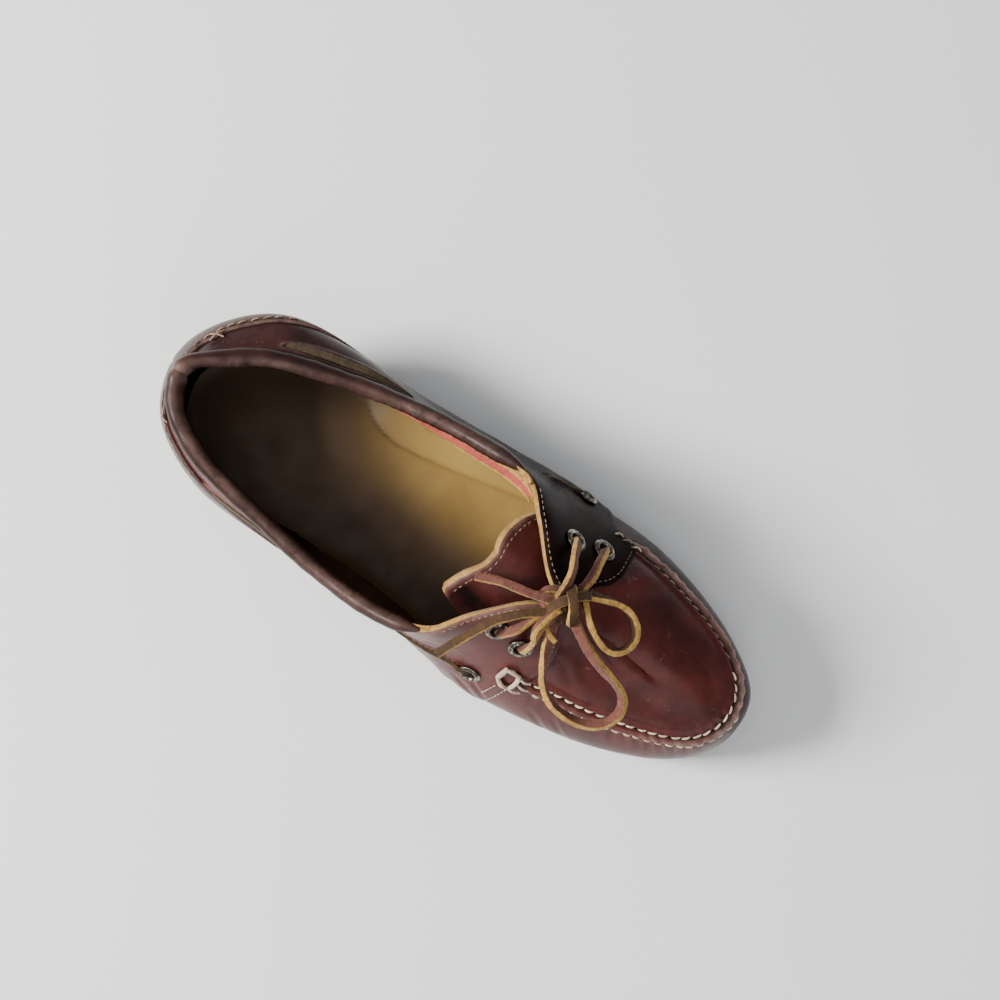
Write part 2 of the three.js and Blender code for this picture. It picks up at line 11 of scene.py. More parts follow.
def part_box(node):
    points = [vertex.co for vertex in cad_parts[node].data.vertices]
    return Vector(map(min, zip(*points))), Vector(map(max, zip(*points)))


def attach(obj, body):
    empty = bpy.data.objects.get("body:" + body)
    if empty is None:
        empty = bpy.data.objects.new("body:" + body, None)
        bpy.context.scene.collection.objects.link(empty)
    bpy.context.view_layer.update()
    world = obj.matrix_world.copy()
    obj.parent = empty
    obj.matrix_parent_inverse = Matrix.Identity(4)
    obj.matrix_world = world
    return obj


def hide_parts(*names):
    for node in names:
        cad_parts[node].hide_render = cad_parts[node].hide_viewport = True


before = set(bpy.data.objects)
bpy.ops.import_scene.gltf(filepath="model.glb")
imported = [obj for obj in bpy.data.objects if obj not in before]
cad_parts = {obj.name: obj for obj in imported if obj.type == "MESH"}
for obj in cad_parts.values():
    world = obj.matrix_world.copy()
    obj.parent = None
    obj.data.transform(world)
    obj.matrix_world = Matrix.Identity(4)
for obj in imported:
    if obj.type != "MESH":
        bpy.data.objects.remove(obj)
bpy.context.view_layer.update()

# ---------------------------------------------------------------- the shoe's own sizes
# A place is (x, s, z): x to the lateral side, s forward from the back of the heel, z up from the floor.
MM = 1000  # millimetres in a metre
WALL = 2.2
GAP = 0.3
ROLL_HALF_WIDTH = 3.5
ROLL_HALF_HEIGHT = 4.2
INSOLE_THICK = 3.5
TONGUE_THICK = 2.0
LACE_WIDTH = 4.0
LACE_THICK = 2.4
LACE_STEP = 0.7  # from ring to ring of a lace's mesh
EYELET_R = 4.7
EYELET_BORE = 2.7
EYELET_HOLE = 3.3  # radius of the hole in the leather
TREAD_DEPTH = 2.2
TREAD_WIDTH = 2.6
OVERLAY = 1.1  # how far a quarter stands proud of the vamp under it
COVER = 1.2  # the heel cover's own thickness
RIDGE_WIDTH = 4.2  # gathered ridge of the moccasin seam
RIDGE_HEIGHT = 1.9
GATHER_PITCH = 5.0
TOE_END = 290  # length of the sole

# Stations round the ring, from the back of the heel: along the lateral side, then back along the medial side.
CORNER = 6  # the eyestay's rear corner, where the collar ends
THROAT = 9  # from here forward the plug joins the two sides
TOE = 13
RING = 26
# Heights on the upper: 0 at the sole, 1 at the bulge, 2 at the moccasin seam, 3 at the top edge.
SEAM = 2.0
TOP = 3.0

# Stations heel to toe: spine (s, x), lateral and medial outline (s, x), feather inset lateral and medial.
STATIONS = [
    (34, 0, 0, 1, 0, 1, 4, 4),
    (38, 0, 10.5, 22.5, 9.5, -24, 4, 4),
    (48, 0, 35, 40, 35.5, -39.5, 4, 5),
    (74, 0, 72, 46, 74, -43, 6, 9),
    (106, 0, 106, 46.5, 107, -44.5, 8, 12),
    (138, 0, 138, 47.5, 137.5, -47, 7, 11),
    (160, -1, 164, 48.7, 160, -51, 5.5, 8),
    (174, -1.5, 179, 48.5, 174, -53.5, 5, 6),
    (190, -2, 196, 47.5, 191, -54.5, 4, 4.5),
    (206, -3, 219, 46, 214.5, -52, 4, 4),
    (222, -4, 245, 39, 240, -47.5, 4, 4),
    (234, -5.5, 270.5, 26.5, 266, -38, 4, 4),
    (240, -6.5, 288, 10.5, 283, -25.5, 4, 4),
    (242, -7, 290, -8.5, 290, -8.5, 4, 4),
]
# Profiles (inset, height) at the bulge, the shoulder and the top edge, then how flat the crown is.
LATERAL = [
    (2, 38, 3.3, 58, 14, 76, 0),
    (1.5, 38, 0, 58, 18, 74.5, 0),
    (1, 38, -2, 56, 18.5, 70.5, 0),
    (1.5, 36, 1, 51.5, 14.5, 66.3, 0),
    (1.5, 34, 4.5, 50, 10, 66.5, 0),
    (1.5, 31, 6.5, 52, 10, 72.5, 0),
    (1.5, 27, 8.5, 54, 14, 82, 0.3),
    (1.5, 25, 10.5, 54.5, 26.5, 85, 0.7),
    (1.7, 24, 12.5, 53.5, 42.5, 86, 0.9),
    (2, 22, 11.5, 50, 0, 77, 1),
    (2, 22, 10.3, 47, 0, 70, 1),
    (1.7, 22, 8.6, 44, 0, 64, 1),
    (1, 23, 9, 43.2, 0, 61, 1),
    (0.5, 23, 8.2, 42.8, 0, 60, 1),
]
MEDIAL = [
    LATERAL[0],
    (2, 38, 3.6, 57, 13.5, 75.5, 0),
    (1.5, 38, 4.4, 55, 12, 72, 0),
    (1.5, 36, 3.3, 51, 6.5, 67, 0),
    (2, 34, 2, 50, 2, 67, 0),
    (2, 31, 2.5, 52, 3, 73, 0),
    (1.5, 27, 6, 54, 12, 83, 0.3),
    (1, 25, 11, 54.5, 30, 86, 0.7),
    (1, 24, 15, 53.5, 46, 86, 0.9),
    (1, 22, 16.8, 50, 0, 77, 1),
    (1.3, 22, 15.6, 47, 0, 70, 1),
    (1.4, 22, 14, 44, 0, 64, 1),
    (1.5, 23, 11, 43, 0, 61, 1),
    LATERAL[13],
]
# Height of the sole's upper face: (s, z).
SOLE_TOP = [
    (-20, 25), (0, 25), (60, 24), (110, 19), (150, 15), (190, 12.5), (215, 12), (250, 13), (TOE_END, 17.5),
    (310, 21),
]
HEEL_BREAST = (82, 92)
ARCH_HEIGHT = 5.5
FOREFOOT = (146, 214)
TOE_SPRING = 9
TREAD_ROWS = [(16, 68, 5), (152, 212, 6), (224, 272, 4)]  # from s, to s, channels
TREAD_LEAN = 6

# Tongue rows, back to front: lateral, middle and medial points of the upper face.
TONGUE = [
    ((26.5, 177, 69), (3, 168.5, 84), (-23, 156, 76)),
    ((26, 183, 67.5), (1, 177, 83), (-27, 167, 73)),
    ((22.5, 193, 65), (-1, 188, 80.5), (-27, 181, 69)),
    ((18.5, 202, 62.5), (-2, 199, 76), (-24, 194, 65)),
    ((15, 211, 62.5), (-3, 209, 70.5), (-21, 206, 63)),
    ((12, 219, 61), (-4, 218, 67), (-18, 216, 61)),
]

# Places on the upper are (u, w): a station round the ring and a height.
EYELETS = {
    "eyelet_lateral_rear": (7.92, 2.5),
    "eyelet_lateral_front": (8.5, 2.33),
    "eyelet_medial_rear": (RING - 7.62, 2.67),
    "eyelet_medial_front": (RING - 8.25, 2.47),
    "eyelet_side_lateral": (7.35, 1.5),
    "eyelet_side_medial": (RING - 7.46, 1.8),
}
SIDE_LACES = {
    "side_lace_lateral_rear": ((2.15, 2.7), (3.8, 2.42)),
    "side_lace_lateral_front": ((6.05, 1.8), (7.0, 1.58)),
    "side_lace_medial_rear": ((RING - 2.1, 2.05), (RING - 3.85, 2.2)),
    "side_lace_medial_front": ((RING - 4.8, 2.1), (RING - 7.1, 1.82)),
}
KNOT = (-1, 202, 90)

# The bow's routes, as the solids run.
LOOP_LONG = [
    (-5, 208, 90.5), (-9, 214, 91), (-13, 221, 89), (-16, 229, 84), (-18, 236, 78), (-21, 240.5, 74.5),
    (-27, 242.5, 72.5), (-33, 240, 71.5), (-37.5, 234, 72), (-39, 226, 73.5), (-38, 218, 76.5),
    (-32, 210, 81), (-23, 206, 85.5), (-15, 203.5, 88), (-7.5, 201.5, 89),
]
LOOP_SHORT = [
    (3, 208.5, 92), (-3, 214, 92.5), (-7, 220, 90.5), (-8.5, 226, 87), (-5, 231, 84), (1, 232.5, 83),
    (7, 229, 83.5), (9.5, 223, 85), (8.5, 216, 87.5), (6.5, 209, 89.5),
]
END_UP = [
    (-2, 199, 92), (-3, 196, 92.5), (-5, 190, 93), (-6, 183.5, 92.5), (-7.5, 175, 91), (-10.6, 166.6, 89),
]
END_SIDE = [
    (-4.5, 200.5, 93.5), (-7.5, 198.5, 92.5), (-13.5, 190.5, 93.5), (-21.5, 182.5, 92), (-32, 176, 89),
    (-45, 168.8, 84.5),
]

knot_low, knot_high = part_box("lace_knot")
ORIGIN_X = (knot_low.x + knot_high.x) * MM / 2 - KNOT[0]
ORIGIN_Y = (knot_low.y + knot_high.y) * MM / 2 + KNOT[1]


def placed(p):
    """Shoe places (x, s, z) in millimetres as points of the frame in metres."""
    p = np.asarray(p, float)
    return np.stack([p[..., 0] + ORIGIN_X, ORIGIN_Y - p[..., 1], p[..., 2]], -1) / MM


def smoothstep(x, low, high):
    """0 below low, 1 above high, with a soft rise between."""
    t = np.clip((np.asarray(x, float) - low) / (high - low), 0, 1)
    return t * t * (3 - 2 * t)


def bell(d, width):
    """1 where d is 0, falling off over a width on both sides."""
    return np.exp(-((d / width) ** 2))


# ---------------------------------------------------------------- the last
def ring_rows():
    """A row for each station: outline, spine, feather inset, bulge, shoulder, top edge, crown's flatness."""
    rows = []
    for k in range(RING):
        medial = k > TOE
        n = RING - k if medial else k
        spine_s, spine_x, lat_s, lat_x, med_s, med_x, feather_lat, feather_med = STATIONS[n]
        outline = (med_s, med_x) if medial else (lat_s, lat_x)
        side = (MEDIAL if medial else LATERAL)[n]
        reach = math.hypot(outline[0] - spine_s, outline[1] - spine_x)
        top = (reach, side[5]) if n >= THROAT else side[4:6]
        feather = feather_med if medial else feather_lat
        rows.append([*outline, spine_s, spine_x, feather, *side[:4], *top, side[6]])
    return np.array(rows, float)


ROWS = ring_rows()


def from_heel(u):
    """Stations from the heel on either side, 0 to 13."""
    u = np.mod(u, RING)
    return np.minimum(u, RING - u)


def ring_at(u):
    """Row at any place round the ring, its length from outline to spine, and the direction inwards."""
    i = np.floor(u).astype(int)
    t = (u - i)[..., None]
    a, b, c, d = (ROWS[np.mod(i + k, RING)] for k in (-1, 0, 1, 2))
    v = 0.5 * (2 * b + (c - a) * t + (2 * a - 5 * b + 4 * c - d) * t**2 + (3 * b - a - 3 * c + d) * t**3)
    length = np.hypot(v[..., 0] - v[..., 2], v[..., 1] - v[..., 3])
    v[..., 9] = np.where(from_heel(u) >= THROAT, length, v[..., 9])
    return v, length, (v[..., 2:4] - v[..., 0:2]) / length[..., None]


def curve_at(points, s):
    """Cubic through (s, height) points, with the slope between each point's neighbours."""
    xs, ys = np.array(points, float).T
    slope = np.empty(len(xs))
    slope[1:-1] = (ys[2:] - ys[:-2]) / (xs[2:] - xs[:-2])
    slope[0] = (ys[1] - ys[0]) / (xs[1] - xs[0])
    slope[-1] = (ys[-1] - ys[-2]) / (xs[-1] - xs[-2])
    i = np.clip(np.searchsorted(xs, s) - 1, 0, len(xs) - 2)
    h = xs[i + 1] - xs[i]
    t = (s - xs[i]) / h
    return ((2 * t**3 - 3 * t**2 + 1) * ys[i] + (t**3 - 2 * t**2 + t) * h * slope[i]
            + (3 * t**2 - 2 * t**3) * ys[i + 1] + (t**3 - t**2) * h * slope[i + 1])


def sole_top(s):
    """Height of the sole's upper face."""
    return curve_at(SOLE_TOP, s)


def centripetal(a, b, c, d, gaps, t):
    """Catmull-Rom from b to c, for four points whose knots lie the given gaps apart."""
    d0, d1, d2 = gaps
    m1 = ((b - a) / d0 - (c - a) / (d0 + d1) + (c - b) / d1) * d1
    m2 = ((c - b) / d1 - (d - b) / (d1 + d2) + (d - c) / d2) * d1
    return b + m1 * t + (3 * (c - b) - 2 * m1 - m2) * t**2 + (2 * (b - c) + m1 + m2) * t**3


def last(u, w):
    """Places on the outside of the upper: a curve up each column through feather, bulge, shoulder and top."""
    u, w = np.broadcast_arrays(np.asarray(u, float), np.asarray(w, float))
    v, _, direction = ring_at(u)
    feather = np.stack([v[..., 4], sole_top(v[..., 0]) + GAP], -1)
    bulge, shoulder, top = v[..., 5:7], v[..., 7:9], v[..., 9:11]
    lean = 1 - 2 * v[..., 11]
    rise = top[..., 1] - shoulder[..., 1]
    beyond = np.stack([2 * top[..., 0] - shoulder[..., 0], top[..., 1] + rise * lean], -1)
    knots = np.stack([2 * feather - bulge, feather, bulge, shoulder, top, beyond], -2)
    i = np.clip(np.floor(w), 0, 2).astype(int)
    a, b, c, d = (np.take_along_axis(knots, (i + k)[..., None, None], -2)[..., 0, :] for k in range(4))
    gaps = [np.maximum(np.sqrt(np.linalg.norm(q - p, axis=-1)), 0.01)[..., None]
            for p, q in ((a, b), (b, c), (c, d))]
    r, z = np.moveaxis(centripetal(a, b, c, d, gaps, (w - i)[..., None]), -1, 0)
    return np.stack([v[..., 1] + direction[..., 1] * r, v[..., 0] + direction[..., 0] * r, z], -1)


def unit(v):
    return v / np.maximum(np.linalg.norm(v, axis=-1, keepdims=True), 1e-9)


def last_normal(u, w):
    """Direction straight out of the last."""
    e = 0.04  # a small step in stations and in height
    along = last(np.asarray(u) + e, w) - last(np.asarray(u) - e, w)
    up = last(u, np.asarray(w) + e) - last(u, np.asarray(w) - e)
    return unit(np.cross(along, up))


def skin(u, w, offset):
    """Points at an offset outside the last."""
    return last(u, w) + last_normal(u, w) * np.asarray(offset, float)[..., None]


SEAM_SAMPLES = np.linspace(0, TOP, 121)
AT_SEAM = 80  # the sample whose height is SEAM


def seam_lengths(u):
    """Distance from the seam at each sample of height, for each column u."""
    p = last(u[:, None], SEAM_SAMPLES[None, :])
    steps = np.linalg.norm(np.diff(p, axis=1), axis=-1)
    along = np.concatenate([np.zeros((len(u), 1)), np.cumsum(steps, axis=1)], axis=1)
    return along - along[:, AT_SEAM:AT_SEAM + 1]


def heights_at(u, distance):
    """Heights at signed distances from the seam, positive towards the plug; distance has a row for each u."""
    lengths = seam_lengths(u)
    return np.stack([np.interp(d, row, SEAM_SAMPLES) for d, row in zip(distance, lengths)])


def seam_distance(u, w):
    """Signed distance from the seam at places that form a grid of columns."""
    lengths = seam_lengths(u)
    return np.stack([np.interp(ws, SEAM_SAMPLES, row) for ws, row in zip(w, lengths)])


def spline(points, count):
    """Centripetal Catmull-Rom through the points, at count even shares of its knots' parameter."""
    p = np.asarray(points, float)
    p = np.vstack([2 * p[0] - p[1], p, 2 * p[-1] - p[-2]])
    out = []
    spans = len(p) - 3
    for share in np.linspace(0, spans, count):
        i = min(int(share), spans - 1)
        t = share - i
        a, b, c, d = p[i:i + 4]
        gaps = [max(np.linalg.norm(y - x) ** 0.5, 1e-4) for x, y in ((a, b), (b, c), (c, d))]
        out.append(centripetal(a, b, c, d, gaps, t))
    return np.array(out)


def line_on(places, count=200):
    """Both numbers of listed pairs, at even shares of a smooth line through them."""
    p = spline([(a, b, 0) for a, b in places], count)
    return p[:, 0], p[:, 1]


def travel(line):
    """Length along a line up to each of its points."""
    return np.concatenate([[0], np.cumsum(np.linalg.norm(np.diff(line, axis=0), axis=1))])


def evenly(line, step):
    """The line again with points a step apart, and its length."""
    along = travel(line)
    at = np.linspace(0, along[-1], max(3, int(round(along[-1] / step)) + 1))
    return np.stack([np.interp(at, along, line[:, k]) for k in range(line.shape[1])], 1), along[-1]


def near_line(points, line):
    """Distance of each point to a polyline, and the share of the polyline's length where it is nearest."""
    shape = points.shape[:-1]
    p = points.reshape(-1, 3)
    best = np.full(len(p), np.inf)
    share = np.zeros(len(p))
    for i in range(len(line) - 1):
        a, d = line[i], line[i + 1] - line[i]
        t = np.clip((p - a) @ d / max(d @ d, 1e-9), 0, 1)
        far = np.linalg.norm(p - a - t[:, None] * d, axis=1)
        closer = far < best
        best[closer] = far[closer]
        share[closer] = (i + t[closer]) / (len(line) - 1)
    return best.reshape(shape), share.reshape(shape)


# ---------------------------------------------------------------- mesh making
def mesh_object(name, points, faces, materials, indices=None, values=None):
    """A smooth-shaded object from shoe places; indices choose materials, values are painted attributes."""
    mesh = bpy.data.meshes.new(name)
    mesh.from_pydata(placed(points).tolist(), [], faces.tolist() if hasattr(faces, "tolist") else faces)
    for m in materials:
        mesh.materials.append(m)
    if indices is not None:
        mesh.polygons.foreach_set("material_index", np.asarray(indices, np.int32))
    for key, value in (values or {}).items():
        mesh.attributes.new(key, "FLOAT", "POINT").data.foreach_set("value", np.asarray(value, np.float32))
    mesh.polygons.foreach_set("use_smooth", [True] * len(mesh.polygons))
    mesh.validate()
    mesh.update()
    obj = bpy.data.objects.new(name, mesh)
    bpy.context.scene.collection.objects.link(obj)
    return obj


def outward(points, faces):
    """Faces turned so that the closed body's volume is positive in the frame."""
    p = placed(points)
    a, b, c, d = (p[faces[:, k]] for k in range(4))
    volume = (a * np.cross(b, c)).sum() + (a * np.cross(c, d)).sum()
    return faces[:, ::-1] if volume < 0 else faces


def weld(obj):
    """Joins vertices that lie on each other."""
    b = bmesh.new()
    b.from_mesh(obj.data)
    bmesh.ops.remove_doubles(b, verts=b.verts, dist=0.01 / MM)
    b.to_mesh(obj.data)
    b.free()


def turn_outward(obj):
    """Turns every face of closed parts to the outside."""
    b = bmesh.new()
    b.from_mesh(obj.data)
    bmesh.ops.recalc_face_normals(b, faces=b.faces)
    b.to_mesh(obj.data)
    b.free()


def shell(name, outer, inner, materials, keep=None, wrap=False, joined_top=None, values=None,
          wall_kinds=(2, 2, 2, 2)):
    """A closed skin between two grids of points (columns, rows, 3), with walls round its borders and holes.

    keep marks the cells that are there; wrap joins the last column to the first; joined_top marks the columns
    whose last row meets another, so that it gets no wall. Material 0 is the outside and 1 the inside, and
    wall_kinds are the materials of the walls at the first and last columns and the first and last rows.
    """
    cols, rows = outer.shape[:2]
    n = cols * rows
    index = np.arange(n).reshape(cols, rows)
    across = cols if wrap else cols - 1
    here, there = index[:across], np.roll(index, -1, axis=0)[:across]
    a, b, c, d = here[:, :-1], there[:, :-1], there[:, 1:], here[:, 1:]
    cells = np.ones((across, rows - 1), bool) if keep is None else keep
    left, right = np.roll(cells, 1, 0), np.roll(cells, -1, 0)
    if not wrap:
        left[0], right[-1] = False, False
    low = np.pad(cells, ((0, 0), (1, 0)))[:, :-1]
    high = np.pad(cells, ((0, 0), (0, 1)))[:, 1:]
    if joined_top is not None:
        high[:, -1] |= joined_top
    walls = [
        np.stack([a, d, d + n, a + n], -1)[cells & ~left],
        np.stack([c, b, b + n, c + n], -1)[cells & ~right],
        np.stack([b, a, a + n, b + n], -1)[cells & ~low],
        np.stack([d, c, c + n, d + n], -1)[cells & ~high],
    ]
    outside = np.stack([a, b, c, d], -1)[cells]
    inside = np.stack([d, c, b, a], -1)[cells] + n
    points = np.concatenate([outer.reshape(-1, 3), inner.reshape(-1, 3)])
    faces = outward(points, np.concatenate([outside, inside, *walls]))
    kinds = np.repeat([0, 1, *wall_kinds], [len(outside), len(inside), *(len(x) for x in walls)])
    kinds = np.minimum(kinds, len(materials) - 1)
    both = {k: np.concatenate([np.ravel(v), np.ravel(v)]) for k, v in (values or {}).items()}
    used = np.unique(faces)
    fresh = np.full(len(points), -1)
    fresh[used] = np.arange(len(used))
    both = {k: v[used] for k, v in both.items()}
    obj = mesh_object(name, points[used], fresh[faces], materials, kinds, both)
    if joined_top is not None:
        weld(obj)
    return obj


def tube_faces(rings, sides, start=0):
    """Quads of a tube whose points run ring by ring."""
    index = start + np.arange(rings * sides).reshape(rings, sides)
    a, b = index[:-1], index[1:]
    return np.stack([a, np.roll(a, -1, 1), np.roll(b, -1, 1), b], -1).reshape(-1, 4)


def swept(name, sections, materials, kinds=None, values=None, dome=0.0):
    """A closed body through sections (rings, sides, 3); each end closes on its centre, dome further out."""
    rings, sides = sections.shape[:2]
    centres = sections.mean(axis=1)
    tips = [centres[0] + unit(centres[0] - centres[1]) * dome,
            centres[-1] + unit(centres[-1] - centres[-2]) * dome]
    points = np.concatenate([sections.reshape(-1, 3), tips])
    quads = tube_faces(rings, sides)
    first, end = rings * sides, rings * sides + 1
    k = np.arange(sides)
    last_ring = (rings - 1) * sides
    caps = [np.stack([np.roll(k, -1), k, np.full(sides, first)], -1),
            np.stack([last_ring + k, last_ring + np.roll(k, -1), np.full(sides, end)], -1)]
    faces = quads.tolist() + [f.tolist() for cap in caps for f in cap]
    if outward(points, quads)[0, 0] != quads[0, 0]:
        faces = [f[::-1] for f in faces]
    per = np.zeros(sides, int) if kinds is None else np.asarray(kinds)
    indices = np.concatenate([np.tile(per, rings - 1), np.full(2 * sides, per.max())])
    at_tips = {key: np.ravel(v)[[0, -1]] for key, v in (values or {}).items()}
    painted = {key: np.concatenate([np.ravel(v), at_tips[key]]) for key, v in (values or {}).items()}
    return mesh_object(name, points, faces, materials, indices, painted)


def moving_frames(line, up):
    """Side and up directions along a line, which start from an up direction and turn as little as may be."""
    tangent = unit(np.gradient(line, axis=0))
    normal = np.empty_like(line)
    up = np.asarray(up, float)
    normal[0] = unit(up - tangent[0] * (up @ tangent[0]))
    for i in range(1, len(line)):
        normal[i] = unit(normal[i - 1] - tangent[i] * (normal[i - 1] @ tangent[i]))
    return np.cross(tangent, normal), normal


def lace_section():
    """Rounded strip, width by thickness, and which of its sides are broad suede (0) or cut edge (1)."""
    half_w, half_t = LACE_WIDTH / 2, LACE_THICK / 2
    corner, cut_back, crown, crown_half = 0.34, 0.1, 0.05, 0.7
    corners = []
    for sx, sy in ((1, 1), (-1, 1), (-1, -1), (1, -1)):
        arc = [(half_w, half_t - corner), (half_w - cut_back, half_t - cut_back), (half_w - corner, half_t)]
        arc = arc if sx * sy > 0 else arc[::-1]
        corners += [(sx * x, sy * y) for x, y in arc]
    corners = np.array(corners)
    broad = np.array([[crown_half, half_t + crown], [-crown_half, half_t + crown]])
    section = np.vstack([corners[:3], broad, corners[3:9], -broad, corners[9:]])
    direction = np.roll(section, -1, 0) - section
    kinds = (np.abs(direction[:, 1]) > np.abs(direction[:, 0])).astype(int)
    return section, kinds


SECTION, SECTION_KINDS = lace_section()


def smoothed(line, rounds):
    """The line with its small kinks eased; its ends stay."""
    line = line.copy()
    for _ in range(rounds):
        line[1:-1] = (line[:-2] + 2 * line[1:-1] + line[2:]) / 4
    return line


def lace_mesh(name, points, twist, up=(0, 0, 1), scale=1.0, seed=1):
    """A rawhide lace through places; twist is (share of the length, degrees its broad face turns)."""
    line, length = evenly(spline(points, 160), LACE_STEP)
    line = smoothed(line, 12)
    side, normal = moving_frames(line, up)
    share = np.linspace(0, 1, len(line))
    angle = np.radians(np.interp(share, *np.array(twist, float).T))[:, None]
    across = side * np.cos(angle) + normal * np.sin(angle)
    over = normal * np.cos(angle) - side * np.sin(angle)
    rng = np.random.default_rng(seed)
    phase = rng.uniform(0, 6.28, 4)  # the width and thickness waver in slow and quick waves
    along = share * length
    wide = scale * (1 + 0.05 * np.sin(along * 0.55 + phase[0]) + 0.03 * np.sin(along * 1.9 + phase[1]))
    thick = scale * (1 + 0.06 * np.sin(along * 0.8 + phase[2]) + 0.04 * np.sin(along * 2.3 + phase[3]))
    wide[[0, -1]] *= 0.94
    ring = (line[:, None] + across[:, None] * (SECTION[None, :, 0:1] * wide[:, None, None])
            + over[:, None] * (SECTION[None, :, 1:2] * thick[:, None, None]))
    return swept(name, ring, [suede, cut_edge], SECTION_KINDS), line, length


# ---------------------------------------------------------------- materials
def srgb(r, g, b):
    """A display colour, 0 to 255, as linear light."""
    shares = (r / 255, g / 255, b / 255)
    return tuple(c / 12.92 if c <= 0.04045 else ((c + 0.055) / 1.055) ** 2.4 for c in shares) + (1,)


class Recipe:
    """One node material, built socket by socket. Its textures lie in the shoe's own space, in metres."""

    def __init__(self, name, **shader):
        self.material = bpy.data.materials.new(name)
        self.material.use_nodes = True
        self.tree = self.material.node_tree
        self.tree.nodes.clear()
        self.out = self.tree.nodes.new("ShaderNodeOutputMaterial")
        self.shader = self.tree.nodes.new("ShaderNodeBsdfPrincipled")
        self.tree.links.new(self.shader.outputs[0], self.out.inputs["Surface"])
        for key, value in shader.items():
            self.shader.inputs[key.replace("_", " ")].default_value = value
        self.where = self.tree.nodes.new("ShaderNodeTexCoord").outputs["Object"]
        self.normal = None

    def put(self, socket, value):
        """Links a socket, or sets it where the value is plain."""
        if isinstance(value, bpy.types.NodeSocket):
            self.tree.links.new(value, socket)
        else:
            socket.default_value = value

    def noise(self, scale, detail=3.0, rough=0.55, distortion=0.0, stretch=(1, 1, 1)):
        mapping = self.tree.nodes.new("ShaderNodeMapping")
        mapping.inputs["Scale"].default_value = stretch
        self.tree.links.new(self.where, mapping.inputs["Vector"])
        node = self.tree.nodes.new("ShaderNodeTexNoise")
        self.tree.links.new(mapping.outputs[0], node.inputs["Vector"])
        inputs = {"Scale": scale, "Detail": detail, "Roughness": rough, "Distortion": distortion}
        for key, value in inputs.items():
            node.inputs[key].default_value = value
        return node.outputs["Fac"]

    def cells(self, scale):
        """Distance to the middle of pebble-like cells."""
        node = self.tree.nodes.new("ShaderNodeTexVoronoi")
        node.inputs["Scale"].default_value = scale
        self.tree.links.new(self.where, node.inputs["Vector"])
        return node.outputs["Distance"]

    def painted(self, name):
        """A value that the mesh carries at its points; 0 where it has none."""
        node = self.tree.nodes.new("ShaderNodeAttribute")
        node.attribute_name = name
        return node.outputs["Fac"]

    def math(self, operation, a, b=0.0):
        node = self.tree.nodes.new("ShaderNodeMath")
        node.operation = operation
        self.put(node.inputs[0], a)
        self.put(node.inputs[1], b)
        return node.outputs[0]

    def span(self, value, low, high, to_low=0.0, to_high=1.0):
        """The value taken from one range to another, and held at its ends."""
        node = self.tree.nodes.new("ShaderNodeMapRange")
        self.put(node.inputs["Value"], value)
        for key, x in (("From Min", low), ("From Max", high), ("To Min", to_low), ("To Max", to_high)):
            node.inputs[key].default_value = x
        return node.outputs[0]

    def ramp(self, value, stops):
        node = self.tree.nodes.new("ShaderNodeValToRGB")
        self.put(node.inputs[0], value)
        marks = node.color_ramp.elements
        while len(marks) < len(stops):
            marks.new(0.5)
        for mark, (place, colour) in zip(marks, stops):
            mark.position = place
            mark.color = colour
        return node.outputs[0]

    def mix(self, share, a, b):
        node = self.tree.nodes.new("ShaderNodeMix")
        node.data_type = "RGBA"
        for socket, value in ((node.inputs[0], share), (node.inputs[6], a), (node.inputs[7], b)):
            self.put(socket, value)
        return node.outputs[2]

    def bump(self, height, distance, strength=1.0):
        """Adds a relief, distance in millimetres, under those added before it."""
        node = self.tree.nodes.new("ShaderNodeBump")
        node.inputs["Strength"].default_value = strength
        node.inputs["Distance"].default_value = distance / MM
        self.tree.links.new(height, node.inputs["Height"])
        if self.normal is not None:
            self.tree.links.new(self.normal, node.inputs["Normal"])
        self.normal = node.outputs[0]

    def finished(self, colour, roughness):
        """The material, once its colour, roughness and relief are linked."""
        self.put(self.shader.inputs["Base Color"], colour)
        self.put(self.shader.inputs["Roughness"], roughness)
        if self.normal is not None:
            self.tree.links.new(self.normal, self.shader.inputs["Normal"])
        return self.material


POLISH = 0.03  # weight of the leather's wax coat where no painted shade lies
